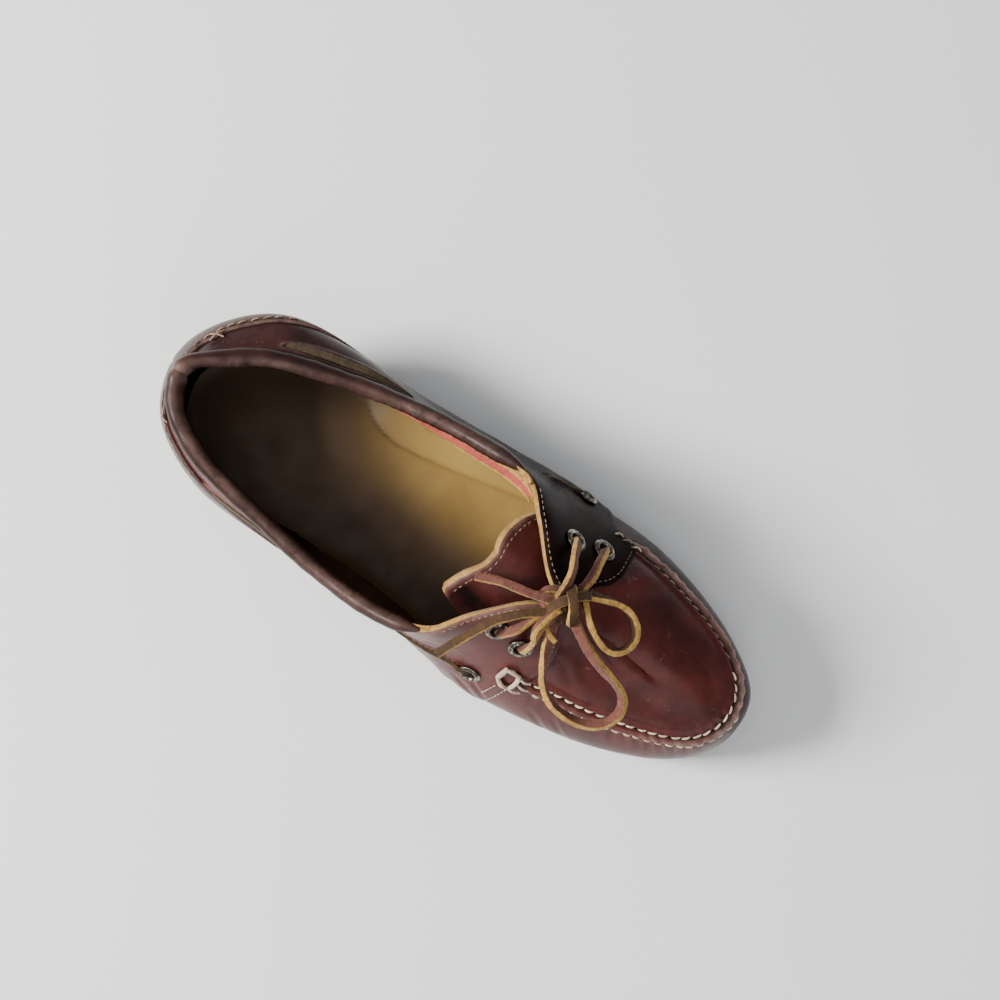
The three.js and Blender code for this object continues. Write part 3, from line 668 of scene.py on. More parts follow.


def leather(name, dark, middle, light, worn_and_lit, shine=(0.22, 0.36), grain=0.09):
    """Polished leather: mottled, lighter where the mesh marks rubbing and painted sheen, dark and dull where it
    marks painted shade.
    """
    r = Recipe(name, Coat_Roughness=0.2, Coat_IOR=1.35, IOR=1.34)
    clouds = r.noise(38, detail=3, distortion=0.4)
    colour = r.ramp(clouds, [(0.3, dark), (0.52, middle), (0.74, light)])
    streaks = r.span(r.noise(330, detail=4, rough=0.65, stretch=(1, 1, 0.5)), 0.35, 0.75)
    colour = r.mix(r.math("MULTIPLY", streaks, 0.35), colour, dark)
    scuffs = r.span(r.noise(140, detail=5, rough=0.7, distortion=1.2), 0.62, 0.74, 0, 0.28)
    colour = r.mix(scuffs, colour, worn_and_lit)
    # Rubbing and painted sheen, where the mesh marks them: the pale worn colour mixed in, in patches.
    patchy = r.span(r.noise(150, detail=5, rough=0.65), 0.32, 0.66, 0.2, 1)
    rubbed_and_lit = r.math("MULTIPLY", r.painted("wear_and_sheen"), patchy)
    colour = r.mix(rubbed_and_lit, colour, worn_and_lit)
    # Painted shade, where the mesh marks it: the colour goes towards near black, and the gloss and coat go.
    painted_shade = r.math("MULTIPLY", r.painted("painted_shade"), r.span(r.noise(90, detail=3), 0.25, 0.6, 0.6, 1))
    colour = r.mix(painted_shade, colour, srgb(20, 12, 11))
    r.put(r.shader.inputs["Specular IOR Level"], r.span(r.painted("painted_shade"), 0, 1, 0.34, 0.03))
    r.put(r.shader.inputs["Coat Weight"], r.span(r.painted("painted_shade"), 0, 1, POLISH, 0.002))
    r.bump(r.cells(1300), 0.05, 0.5)
    r.bump(r.noise(2100, detail=2), grain * 0.5, 0.7)
    r.bump(r.noise(170, detail=4, rough=0.6, distortion=0.8), grain * 1.6, 0.4)
    gloss = r.span(r.noise(75, detail=4, rough=0.65), 0.3, 0.7, *shine)
    gloss = r.math("ADD", gloss, r.math("MULTIPLY", rubbed_and_lit, 0.18))
    return r.finished(colour, gloss)


def fibre(name, dark, light, fuzz=0.35, scale=520, sheen=0.08):
    """Cut or suede leather: short fibres, no gloss."""
    r = Recipe(name, Sheen_Weight=sheen, Sheen_Roughness=0.5, Specular_IOR_Level=0.25)
    blotch = r.noise(110, detail=4, rough=0.6)
    hair = r.noise(scale, detail=5, rough=0.75, distortion=0.6)
    colour = r.ramp(r.math("ADD", r.math("MULTIPLY", blotch, 0.45), r.math("MULTIPLY", hair, 0.55)),
                    [(0.34, dark), (0.66, light)])
    r.bump(hair, fuzz, 0.8)
    r.bump(r.noise(1500, detail=3, rough=0.7), fuzz * 0.35, 0.8)
    return r.finished(colour, r.span(blotch, 0.3, 0.7, 0.72, 0.92))


def lining_leather(name, dark, middle, light):
    """Smooth pale lining: greener where the zone value says, dark brown where the mesh marks painted shade."""
    r = Recipe(name, Specular_IOR_Level=0.22)
    clouds = r.noise(30, detail=4, rough=0.6, distortion=0.5)
    colour = r.ramp(clouds, [(0.28, dark), (0.5, middle), (0.72, light)])
    specks = r.span(r.noise(420, detail=2, rough=0.5), 0.7, 0.78, 0, 0.45)
    colour = r.mix(specks, colour, srgb(70, 48, 26))
    colour = r.mix(r.painted("zone"), colour, srgb(158, 130, 68))
    # Painted shade, where the mesh marks it: dark brown, in patches.
    patchy = r.span(r.noise(38, detail=5, rough=0.5), 0.2, 0.7, 0.93, 1)
    colour = r.mix(r.math("MULTIPLY", r.painted("painted_shade"), patchy), colour, srgb(58, 40, 23))
    r.bump(r.cells(1500), 0.03, 0.4)
    r.bump(r.noise(240, detail=4, rough=0.6), 0.12, 0.5)
    return r.finished(colour, r.span(r.noise(80, detail=3), 0.3, 0.7, 0.42, 0.62))


def rubber():
    """Dark sole rubber, dusty all over and scraped paler where the wear value says."""
    r = Recipe("rubber", Specular_IOR_Level=0.35)
    dust = r.span(r.noise(160, detail=5, rough=0.7), 0.5, 0.75, 0, 0.4)
    clean = r.ramp(r.noise(60), [(0.3, srgb(30, 24, 22)), (0.7, srgb(46, 38, 34))])
    colour = r.mix(dust, clean, srgb(98, 84, 72))
    scratches = r.span(r.noise(400, detail=4, rough=0.7), 0.35, 0.65)
    colour = r.mix(r.math("MULTIPLY", r.painted("wear_and_sheen"), scratches), colour, srgb(92, 80, 70))
    r.bump(r.noise(1100, detail=3, rough=0.6), 0.12, 0.7)
    r.bump(r.noise(200, detail=3), 0.15, 0.4)
    return r.finished(colour, r.span(r.noise(130, detail=3), 0.3, 0.7, 0.6, 0.85))


def nickel():
    """Aged plating: patches of dull brown and of bright metal."""
    r = Recipe("aged_nickel", Metallic=1.0)
    tarnish = r.noise(600, detail=5, rough=0.7)
    stops = [(0.32, srgb(42, 36, 32)), (0.5, srgb(104, 97, 88)), (0.68, srgb(186, 180, 170))]
    colour = r.ramp(tarnish, stops)
    r.bump(r.noise(1400, detail=4, rough=0.65), 0.06, 0.8)
    return r.finished(colour, r.span(tarnish, 0.3, 0.7, 0.55, 0.24))


def thread(name, dark, light):
    """Waxed linen thread: twisted, with fibres and some dirt."""
    r = Recipe(name, Sheen_Weight=0.08, Specular_IOR_Level=0.3)
    dirt = r.noise(160, detail=4, rough=0.65)
    twist = r.noise(1700, detail=2, rough=0.5, distortion=1.5)
    colour = r.ramp(r.math("ADD", r.math("MULTIPLY", dirt, 0.6), r.math("MULTIPLY", twist, 0.4)),
                    [(0.34, dark), (0.58, light)])
    r.bump(twist, 0.18, 0.9)
    return r.finished(colour, r.span(dirt, 0.3, 0.7, 0.6, 0.85))


upper_leather = leather(
    "upper_leather", srgb(56, 25, 23), srgb(82, 37, 34), srgb(102, 47, 43), srgb(160, 130, 118))
# A darker, greyer copy of the upper leather: painted shade on the lateral quarter and the heel cover.
shaded_leather = leather(
    "shaded_leather", srgb(36, 21, 21), srgb(52, 31, 30), srgb(68, 41, 39), srgb(124, 98, 90))
collar_leather = leather(
    "collar_leather", srgb(34, 20, 19), srgb(54, 34, 31), srgb(72, 47, 43), srgb(140, 110, 100),
    shine=(0.3, 0.44), grain=0.11)
flesh = fibre("flesh_side", srgb(78, 52, 34), srgb(128, 92, 60), fuzz=0.2)
raw_edge = fibre("raw_edge", srgb(108, 72, 32), srgb(202, 156, 84), fuzz=0.34, scale=460)
suede = fibre("rawhide_face", srgb(64, 36, 29), srgb(126, 78, 63), fuzz=0.34)
cut_edge = fibre("rawhide_cut", srgb(98, 66, 30), srgb(208, 164, 86), fuzz=0.3, scale=600)
dark_suede = fibre("rawhide_dark", srgb(40, 30, 20), srgb(84, 66, 42), fuzz=0.3)
end_suede = fibre("rawhide_end", srgb(44, 29, 17), srgb(86, 60, 34), fuzz=0.34, sheen=0.02)
pale_lining = lining_leather("side_lining", srgb(150, 124, 66), srgb(172, 142, 80), srgb(186, 156, 92))
heel_lining = leather(
    "heel_lining", srgb(40, 27, 22), srgb(60, 41, 33), srgb(76, 53, 43), srgb(104, 78, 62), shine=(0.4, 0.6))
footbed = lining_leather("footbed", srgb(134, 106, 54), srgb(146, 116, 60), srgb(158, 128, 70))
red_tape = fibre("red_tape", srgb(112, 38, 32), srgb(188, 86, 72), fuzz=0.12, scale=900)
cream_thread = thread("cream_thread", srgb(138, 112, 84), srgb(236, 220, 190))
tan_thread = thread("tan_thread", srgb(96, 72, 58), srgb(168, 140, 116))
worn_thread = thread("worn_thread", srgb(110, 84, 70), srgb(216, 196, 174))
dirty_thread = thread("dirty_thread", srgb(70, 48, 38), srgb(138, 112, 94))
dark_rubber = rubber()
eyelet_metal = nickel()


# ---------------------------------------------------------------- camera, first of all
AZIMUTH, ELEVATION, ROLL = 344.16, 81.86, -42.64
DISTANCE = 0.5762
AIM = (0, 145, 30)  # shoe place that the camera was turned round
LENS, SENSOR_WIDTH = 47.1, 36
SHIFT = (0.0424, 0.0408)


def add_camera():
    """Camera above the shoe, turned so that the toe points to the lower right of the view."""
    az, el = math.radians(AZIMUTH), math.radians(ELEVATION)
    back = Vector((math.sin(az) * math.cos(el), -math.cos(az) * math.cos(el), math.sin(el)))
    data = bpy.data.cameras.new("camera")
    data.lens, data.sensor_width = LENS, SENSOR_WIDTH
    data.shift_x, data.shift_y = SHIFT
    data.clip_start, data.clip_end = 0.01, 20
    camera = bpy.data.objects.new("camera", data)
    bpy.context.scene.collection.objects.link(camera)
    turn = (-back).to_track_quat("-Z", "Y").to_matrix() @ Matrix.Rotation(math.radians(ROLL), 3, "Z")
    camera.matrix_world = Matrix.Translation(Vector(placed(AIM)) + back * DISTANCE) @ turn.to_4x4()
    bpy.context.scene.camera = camera


add_camera()


def dress(obj, slot=None, *nodes):
    """The piece rides on the shoe and stands for its solids, which are hidden; slot is not used."""
    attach(obj, "root")
    if nodes:
        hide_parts(*nodes)
    return obj


# ---------------------------------------------------------------- laces
# Free stretches: solid, route, far end, twist, and whether the broad face takes the darker rawhide, as painted
# shade on the short loop and the side end.
BOW = [
    ("lace_loop_long", LOOP_LONG, "object",
     [(0, 0), (0.12, 35), (0.3, 70), (0.5, 62), (0.62, 80), (0.8, 84), (0.88, 40), (1, 10)], False),
    ("lace_loop_short", LOOP_SHORT, "object",
     [(0, 80), (0.15, 84), (0.45, 78), (0.7, 60), (0.85, 50), (1, 20)], True),
    ("lace_end_up", END_UP, "bare", [(0, 0), (0.5, 8), (1, 14)], False),
    ("lace_end_side", END_SIDE, "bare", [(0, 12), (0.3, 16), (1, 14)], True),
]
# Width of each kind of stretch against the full lace.
END_SCALE, KNOT_SCALE, STRAND_SCALE, SIDE_SCALE = 0.86, 0.94, 0.92, 0.78


def add_bow():
    """The two loops and two ends that lie free."""
    for seed, (name, route, far_end, twist, darker) in enumerate(BOW):
        scale = END_SCALE if far_end == "bare" else 1
        obj, line, length = lace_mesh(name + "_hide", route, twist, scale=scale, seed=seed + 3)
        if darker:
            obj.data.materials[0] = end_suede
        dress(obj, "rawhide", name)


# Turns of the knot: route, twist, and whether the broad face takes the darker rawhide.
KNOT_PARTS = [
    # the strand that crosses the top and runs out as the side end
    ("knot_over", [(5.5, 208.5, 90.5), (4.5, 206.5, 94.5), (1, 203.5, 96.5), (-3, 200, 96.2),
                   (-7.5, 198.3, 93)],
     [(0, 25), (0.5, 10), (1, 40)], True),
    # the band that wraps the crossing
    ("knot_wrap", [(3, 203, 86), (5.2, 201.8, 91), (3.4, 202.3, 96), (0.4, 205, 98), (-4, 207.5, 96.5),
                   (-7, 208, 91.5), (-5, 207, 87.5)],
     [(0, 90), (0.3, 20), (0.5, 0), (0.7, -20), (1, -90)], True),
    # the turn under the end that lies on the tongue
    ("knot_under", [(2.8, 200.5, 88.5), (0.5, 194.8, 90.5), (-2.6, 192.2, 91), (-5.2, 194.5, 91),
                    (-6.5, 200, 91.5), (-3, 205.5, 91)],
     [(0, 30), (0.5, 70), (1, 40)], False),
    # the strand from the front medial eyelet's side, cut edge up
    ("knot_side", [(-20, 199.6, 87), (-17.4, 197.6, 91), (-13.6, 198.2, 93.6), (-9, 199.6, 94.2),
                   (-5, 202, 92.5)],
     [(0, 75), (0.6, 80), (1, 50)], False),
    ("knot_core", [(-9, 203, 90), (-4, 203.5, 91.5), (1, 203, 92), (6, 205, 90)], [(0, 0), (1, 30)], True),
    ("knot_turn", [(-9.5, 199.8, 91.5), (-13, 199, 90.5), (-15.4, 202.2, 89), (-15.8, 206.5, 87.5)],
     [(0, 10), (0.5, 30), (1, 70)], False),
]


def add_knot():
    """The knot as wrapped strands that meet."""
    for seed, (name, route, twist, darker) in enumerate(KNOT_PARTS):
        obj, _, _ = lace_mesh(name, route, twist, scale=KNOT_SCALE, seed=seed + 11)
        if darker:
            obj.data.materials[0] = end_suede
        dress(obj, "rawhide", *(["lace_knot"] if name == "knot_wrap" else []))


def eyelet_axis(name):
    """An eyelet's place on the last and the direction out of it."""
    u, w = EYELETS[name]
    return last(u, w), last_normal(u, w)


# Strands from the eyelets to the knot: route above the leather, and twist.
STRANDS = [
    ("eyelet_lateral_rear", [(16.8, 195.6, 90.5), (10.2, 198.5, 94.5), (3.8, 199.3, 95.8), (-1, 198.8, 93.5)],
     [(0, -20), (0.5, -35), (1, -30)]),
    ("eyelet_lateral_front", [(18.6, 205.2, 85), (12.9, 205.8, 88.6), (7, 205, 91), (2, 203, 90.5)],
     [(0, 50), (0.5, 60), (1, 30)]),
    ("eyelet_medial_rear", [(-22.3, 189.3, 88.2), (-18.6, 192.2, 90.6), (-14, 193.8, 91.5), (-8, 197.5, 91)],
     [(0, 60), (0.5, 66), (1, 40)]),
    ("eyelet_medial_front", [(-20.6, 199.6, 86.2), (-17, 199.6, 89), (-12, 200.5, 90.6), (-6, 202, 90.5)],
     [(0, 60), (0.5, 50), (1, 20)]),
]


def add_crossing():
    """The four strands that come up through the eyelets and meet under the knot."""
    for seed, (name, route, twist) in enumerate(STRANDS):
        at, out = eyelet_axis(name)
        onward = unit(np.array(route[0]) - at)
        rise = [at - out * 4.2, at - out * 0.6 + onward * 0.3, at + out * 2.3 + onward * 2.2]
        obj, _, _ = lace_mesh(name.replace("eyelet", "strand"), [*map(tuple, rise), *route], twist,
                              up=tuple(np.cross(out, (0.3, 1, 0))), scale=STRAND_SCALE, seed=seed + 21)
        dress(obj, "rawhide", *(["lace_crossing"] if seed == 0 else []))


def side_lace_line(name, lift, count=60):
    """A side lace's visible stretch, lifted off the last, with its stations and heights."""
    (u0, w0), (u1, w1) = SIDE_LACES[name]
    share = np.linspace(0, 1, count)
    u, w = u0 + (u1 - u0) * share, w0 + (w1 - w0) * share
    return skin(u, w, np.full(count, lift)), u, w


def add_side_laces():
    """Visible lengths of the side laces; each dives in at its ends, the front ones into the side eyelets."""
    for seed, name in enumerate(SIDE_LACES):
        line, u, w = side_lace_line(name, 1.55)
        ends = np.sin(np.linspace(0, math.pi, len(line))) ** 0.35
        line = line - last_normal(u, w) * (1 - ends)[:, None] * LACE_THICK
        points = [tuple(p) for p in line[::3]]
        if "front" in name:
            at, out = eyelet_axis("eyelet_side_" + ("medial" if "medial" in name else "lateral"))
            rim = at + out * 2.3 - unit(at - line[-6]) * 3.2
            points = points[:-2] + [tuple(rim), tuple(at + out * 0.4), tuple(at - out * 3.5)]
        obj, _, _ = lace_mesh(name + "_hide", points, [(0, 4), (0.5, -6), (1, 5)],
                              up=tuple(last_normal(u[:1], w[:1])[0]), scale=SIDE_SCALE, seed=seed + 31)
        obj.data.materials[0] = dark_suede
        obj.data.materials[1] = dark_suede
        dress(obj, "rawhide", name)


add_bow()
add_knot()
add_crossing()
add_side_laces()


# ---------------------------------------------------------------- the upper
# Here n is a station counted from the heel on either side, and w a height.
QUARTER_END = 8.72  # n where a quarter's front edge meets the top edge
# Front edge of each quarter over the vamp: (w, n).
LATERAL_FRONT = [
    (0, 7.6), (0.9, 7.9), (1.5, 8.15), (1.8, 8.4), (1.97, 8.78), (2.1, 8.96), (2.27, 9.05), (2.42, 9.13),
    (2.55, 9.1), (2.66, 8.94), (2.8, 8.8), (3, QUARTER_END),
]
MEDIAL_FRONT = [
    (0, 7.5), (0.8, 7.8), (1.27, 8.06), (1.6, 8.2), (1.83, 8.34), (2.0, 8.55), (2.2, 8.8), (2.4, 8.95),
    (2.6, 8.98), (2.8, 8.86), (3, QUARTER_END),
]
# Top edge of the heel cover: (n, w).
COVER_TOP = [
    (0, 2.86), (0.3, 2.78), (0.54, 2.66), (0.75, 2.55), (1.04, 2.47), (1.25, 2.4), (1.58, 2.36), (1.83, 2.28),
    (2.17, 2.14), (2.8, 1.6), (3.4, 0.9), (3.74, 0.05),
]
# Creases: (medial?, from (n, w), to (n, w), depth, half-width).
CREASES = [
    (True, (7.05, 1.55), (7.9, 1.05), 0.5, 1.3),
    (True, (7.3, 1.75), (8.1, 1.25), 0.45, 1.1),
    (True, (6.7, 1.3), (7.5, 0.8), 0.4, 1.5),
    (True, (6.2, 2.35), (7.0, 2.05), 0.45, 1.8),
    (True, (5.6, 2.45), (6.6, 2.3), 0.35, 2.0),
    (True, (3.6, 1.5), (4.7, 1.75), 0.3, 2.4),
    (True, (4.2, 1.1), (5.3, 1.25), 0.3, 2.2),
    (False, (7.0, 1.4), (7.9, 1.0), 0.45, 1.4),
    (False, (6.4, 1.55), (7.3, 1.2), 0.4, 1.6),
    (False, (3.8, 1.5), (4.9, 1.7), 0.35, 2.4),
    (False, (5.6, 2.3), (6.5, 2.2), 0.3, 2.0),
    (True, (9.0, 2.5), (9.5, 2.2), 0.22, 2.4),
    (False, (9.3, 2.6), (9.7, 2.2), 0.22, 2.6),
    (False, (9.9, 2.7), (10.1, 2.25), 0.15, 2.8),
    (True, (9.7, 2.7), (10.0, 2.3), 0.14, 2.8),
    (True, (8.9, 1.5), (9.3, 0.9), 0.35, 1.4),
    (True, (9.3, 1.55), (9.6, 1.0), 0.3, 1.2),
    (False, (8.9, 1.5), (9.4, 1.0), 0.35, 1.4),
]
SLOT_HALF = 2.4
SLOT_DEPTH = 2.3


def crease_relief(points, medial_side):
    """Soft troughs with a low ridge on either side."""
    relief = np.zeros(points.shape[:-1])
    for medial, start, end, depth, half in CREASES:
        if medial != medial_side:
            continue
        share = np.linspace(0, 1, 9)
        n = start[0] + (end[0] - start[0]) * share
        w = start[1] + (end[1] - start[1]) * share + 0.05 * np.sin(share * math.pi)
        far, along = near_line(points, last(RING - n if medial else n, w))
        fade = np.sin(np.clip(along, 0.02, 0.98) * math.pi) ** 0.6
        relief += depth * fade * (0.55 * bell(far - 2.1 * half, half) - bell(far, half))
    return relief


def seam_starts(u):
    """Share of the ridge that is there: it comes up out of the quarter's front edge."""
    n = from_heel(u)
    medial_start, lateral_start, run = 8.42, 8.72, 0.3
    start = np.where(np.mod(u, RING) > TOE, medial_start, lateral_start)
    return np.clip((n - start) / run, 0, 1) ** 0.7


def vamp_relief(u, distance, along):
    """Ridge, troughs and gathers of the moccasin seam; distance is from the seam, towards the plug."""
    pleat = np.cos(2 * math.pi * (along + 0.5 * np.sin(along * 0.19 + 1.3)) / GATHER_PITCH)
    uneven = 1 + 0.1 * np.sin(along * 0.37) + 0.07 * np.sin(along * 1.13 + 2)
    centre = -RIDGE_WIDTH / 2 - 0.1
    across = np.clip(1 - ((distance - centre) / (RIDGE_WIDTH / 2 + 0.15)) ** 2, 0, 1)
    ridge = RIDGE_HEIGHT * uneven * across**0.55 * (1 + 0.13 * pleat)
    wrinkle = 0.14 * np.sin(along * 5.1 + 1.7 * np.sin(along * 0.9)) * across
    trough_in = -1.25 * bell(distance - 0.5, 0.6)
    roll = 0.75 * bell(distance - 2.7, 1.7) * (1 + 0.2 * pleat)
    trough_out = -0.75 * bell(distance + RIDGE_WIDTH + 0.75, 0.75)
    below = np.clip(-distance - RIDGE_WIDTH - 0.4, 0, None)
    strength = np.where(np.mod(u, RING) > TOE, 1.3, 0.8) * np.exp(-below / 6)
    gathers = -(0.3 * pleat + 0.12 * np.sin(along * 2.9)) * strength * smoothstep(-distance, 4.4, 5.4)
    return seam_starts(u) * (ridge + wrinkle + trough_in + roll + trough_out + gathers)


def vamp_rows(u):
    """Distances from the seam for each column: close over the ridge, wider down the wall and to the spine."""
    band, step, wall_rows, plug_rows = 7, 0.5, 22, 26
    lengths = seam_lengths(u)
    close = np.arange(-band, band + step / 2, step)
    low = lengths[:, :1] + (-band - lengths[:, :1]) * np.linspace(0, 1, wall_rows, endpoint=False)
    high = band + (lengths[:, -1:] - band) * np.linspace(0, 1, plug_rows + 1)[1:]
    return np.concatenate([low, np.tile(close, (len(u), 1)), high], axis=1)


def seam_travel(u):
    """Length along the seam from the lateral side's start, for each column."""
    fine = np.linspace(7, 19, 1200)
    return np.interp(u, fine, travel(last(fine, SEAM)))


def plug_waves(points):
    """Shallow hollows in the plug's polished leather."""
    x, s = points[..., 0], points[..., 1]
    broad = 0.22 * np.sin(s / 6.5 + x / 17) * np.sin(x / 8.3 + 0.6)
    return 0.75 * (broad + 0.14 * np.sin(s / 3.9 - x / 5.1 + 1) + 0.1 * np.sin(x / 3.1 + s / 9.7))


def kept_cells(points, side=""):
    """Cells of a grid that are there: all but those whose middle is in the hole of an eyelet on that side."""
    middle = (points[:-1, :-1] + points[1:, :-1] + points[1:, 1:] + points[:-1, 1:]) / 4
    keep = np.ones(middle.shape[:2], bool)
    for name in EYELETS:
        if side in name:
            at, out = eyelet_axis(name)
            away = middle - at
            along = away @ out
            aside = np.linalg.norm(away - along[..., None] * out, axis=-1)
            keep &= (aside >= EYELET_HOLE) | (np.abs(along) >= 8)
    return keep


def add_vamp():
    """Wall, ridge and plug of the vamp, from under one quarter's front round the toe to under the other's."""
    half = np.linspace(7.4, TOE, 190)
    u = np.concatenate([half, (RING - half[:-1])[::-1]])
    distance = vamp_rows(u)
    w = heights_at(u, distance)
    grid_u = np.broadcast_to(u[:, None], w.shape)
    along = np.broadcast_to(seam_travel(u)[:, None], w.shape)
    base = last(grid_u, w)
    calm = smoothstep(distance, 3, 9)
    relief = vamp_relief(grid_u, distance, along) + plug_waves(base) * calm
    medial = grid_u > TOE
    relief += np.where(medial, crease_relief(base, True), crease_relief(base, False))
    normal = last_normal(grid_u, np.minimum(w, 2.96))
    outer, inner = base + normal * relief[..., None], base - normal * 1.1
    joined = from_heel((u[:-1] + u[1:]) / 2) > THROAT
    # Rubbing and painted highlight on the ridge, most on the lateral side, and a painted highlight band on the
    # wall below it.
    on_ridge = bell(distance + RIDGE_WIDTH / 2, 1.7) * seam_starts(grid_u)
    rubbed_and_lit_side = 1 - 0.85 * smoothstep(grid_u, TOE + 0.5, TOE + 2.5)
    wear_and_sheen = np.clip(on_ridge * rubbed_and_lit_side + 0.25 * bell(distance + 5.6, 1.5), 0, 1)
    # Painted shade in the troughs beside the ridge and over the lateral wall below it.
    grooves = bell(distance - 0.5, 0.8) + 0.8 * bell(distance + RIDGE_WIDTH + 0.75, 0.7)
    shade = 0.8 * smoothstep(-distance, 4, 5.5) * (1 - smoothstep(grid_u, TOE - 0.8, TOE + 1.2))
    painted_shade = np.clip(grooves * seam_starts(grid_u) + shade, 0, 1)
    obj = shell("vamp", outer, inner, [upper_leather, flesh], kept_cells(base), joined_top=joined,
                wall_kinds=(0, 0, 0, 0), values={"wear_and_sheen": wear_and_sheen, "painted_shade": painted_shade})
    return dress(obj, "upper_leather", "upper")


def quarter_top(n, reach):
    """Height of the top edge: tucked into the collar behind the eyestay, at the full height in front."""
    drop = 1 - smoothstep(n, CORNER - 0.35, CORNER + 0.35)
    return TOP - drop * 2.2 / reach


def front_edge(table, w):
    """Station of a quarter's front edge at a height."""
    return np.interp(w, *line_on(table))


def slot_relief(points, side):
    """Leaf-shaped troughs with raised lips where a side lace shows."""
    relief = np.zeros(points.shape[:-1])
    lips = np.zeros(points.shape[:-1])
    for name in SIDE_LACES:
        if side not in name:
            continue
        line, _, _ = side_lace_line(name, 0.0, 24)
        far, share = near_line(points, line)
        half = SLOT_HALF * np.sin(np.clip(share, 0.004, 0.996) * math.pi) ** 0.5
        inside = 1 - smoothstep(far, half - 0.35, half + 0.25)
        relief -= SLOT_DEPTH * inside
        lips += bell(far - half - 0.7, 0.6) * smoothstep(far, half - 0.4, half + 0.2)
    return relief + 0.55 * lips, lips


def side_station(n, medial):
    """Place round the ring of a station counted from the heel on one side."""
    return RING - n if medial else n


def seam_to_top(u):
    """Length from the seam up to the top edge."""
    return np.linalg.norm(last(u, TOP) - last(u, SEAM), axis=-1)


def quarter_grid(table, medial, columns, rows):
    """Stations and heights of a quarter, heel to front edge, and the length from seam to top at each."""
    share = np.linspace(0, 1, columns)[:, None]
    level = np.linspace(0, 1, rows)[None, :]
    n = share * QUARTER_END * np.ones_like(level)
    w = level * quarter_top(n, seam_to_top(side_station(n, medial)))
    n = share * front_edge(table, w)
    reach = seam_to_top(side_station(n, medial))
    return share, level, n, level * quarter_top(n, reach), reach


def add_quarter(side):
    """One side of the upper, from the heel to its front edge over the vamp, with a raw throat edge."""
    medial = side == "medial"
    rows = 86
    share, level, n, w, reach = quarter_grid(MEDIAL_FRONT if medial else LATERAL_FRONT, medial, 300, rows)
    u = side_station(n, medial)
    base = last(u, w)
    normal = last_normal(u, np.minimum(w, 2.98))
    columns = u[:, rows * 2 // 3]
    distance = seam_distance(columns, w)
    along = np.broadcast_to(seam_travel(columns)[:, None], w.shape)
    lifted = np.clip(vamp_relief(u, distance, along), 0, None) * smoothstep(n, 7.6, 8.2)
    slots, lips = slot_relief(base, side)
    front = smoothstep(share * np.ones_like(level), 0.985, 1.0)
    rim = smoothstep(level * np.ones_like(share), 0.975, 1.0)
    waves = 0.3 * np.sin(n * 2.3 + w * 3.1) * np.sin(w * 4.3 - n * 0.7) + 0.12 * np.sin(n * 7.9 + w * 5.3)
    relief = OVERLAY + lifted + slots + crease_relief(base, medial) + waves * 0.6 - 0.35 * front - 0.4 * rim
    behind_vamp, on_vamp, flush = 7.3, 7.7, -1.15
    over_vamp = np.clip((n - behind_vamp) / (on_vamp - behind_vamp), 0, 1)
    inner = flush * (1 - over_vamp) + np.clip(slots, -SLOT_DEPTH, 0)
    lower = np.minimum(np.maximum(inner, -2.1), relief - 0.5)
    rise = unit(last(u, TOP) - last(u, TOP - 0.1))
    bevel = (1.5 * smoothstep(level, 0.9, 1.0) * smoothstep(n, 5.9, 6.5))[..., None] * rise
    edge_wear = np.clip(0.5 * bell((1 - level) * reach, 1.6) * (n > 5.6) + 0.5 * lips, 0, 1)
    # Painted shade: darker along the sole, and all over the lateral side from the heel forward.
    shade = 0.0 if medial else 0.96 * smoothstep(n, 2.5, 5.5)
    painted_shade = np.clip(bell(level * 40, 4) * 0.6 + shade, 0, 1)
    # The lateral quarter takes the darker copy of the leather as painted shade; the medial one keeps the upper
    # leather.
    face = upper_leather if medial else shaded_leather
    outer, under = base + normal * relief[..., None], base + normal * lower[..., None] + bevel
    obj = shell("quarter_" + side, outer, under,
                [face, flesh, raw_edge], kept_cells(base, side), wall_kinds=(0, 0, 0, 2),
                values={"wear_and_sheen": edge_wear * np.ones_like(w), "painted_shade": painted_shade * np.ones_like(w)})
    return dress(obj, "upper_leather")


def cover_top(n):
    """Height of the heel cover's top edge."""
    return np.interp(n, *line_on(COVER_TOP))


def add_heel_cover():
    """Thin counter over the quarters' backs, stitched along its top edge."""
    n_end = COVER_TOP[-1][0]
    u = np.linspace(-n_end, n_end, 260)[:, None]
    level = np.linspace(0, 1, 60)[None, :]
    n = np.abs(u) * np.ones_like(level)
    w = level * cover_top(n)
    grid_u = u * np.ones_like(level)
    base = last(grid_u, w)
    edge = (1 - level) * np.linalg.norm(last(u, 2.6) - last(u, 2.0), axis=-1) * cover_top(n) / 0.6
    seam = -0.35 * bell(edge - 1.9, 0.5)
    back = -0.5 * bell(grid_u * 16, 0.6)
    relief = OVERLAY + COVER + seam + back - 0.5 * bell(edge, 0.5)
    normal = last_normal(grid_u, w)
    # Rubbing along the top edge; the back of the heel about halfway up and the upper lateral part lighter,
    # rubbing and painted sheen together. Painted shade along the sole and in the stitch groove.
    wear_and_sheen = np.clip(0.55 * bell(edge, 1.3) + 0.5 * smoothstep(np.abs(base[..., 2] - 40), 24, 0) * bell(n, 1.1)
                   + 0.4 * smoothstep(grid_u, -0.3, 0.9) * smoothstep(level, 0.55, 0.95), 0, 1)
    painted_shade = np.clip(bell(level * 40 * np.ones_like(u), 5) + bell(edge - 1.9, 0.5) * 0.5, 0, 1)
    obj = shell("heel_cover", base + normal * relief[..., None], base + normal * (OVERLAY - 0.1),
                [shaded_leather, flesh], values={"wear_and_sheen": wear_and_sheen, "painted_shade": painted_shade}, wall_kinds=(0, 0, 0, 0))
    return dress(obj, "upper_leather")


COLLAR_TAPER = 17  # length over which the roll thins to each end


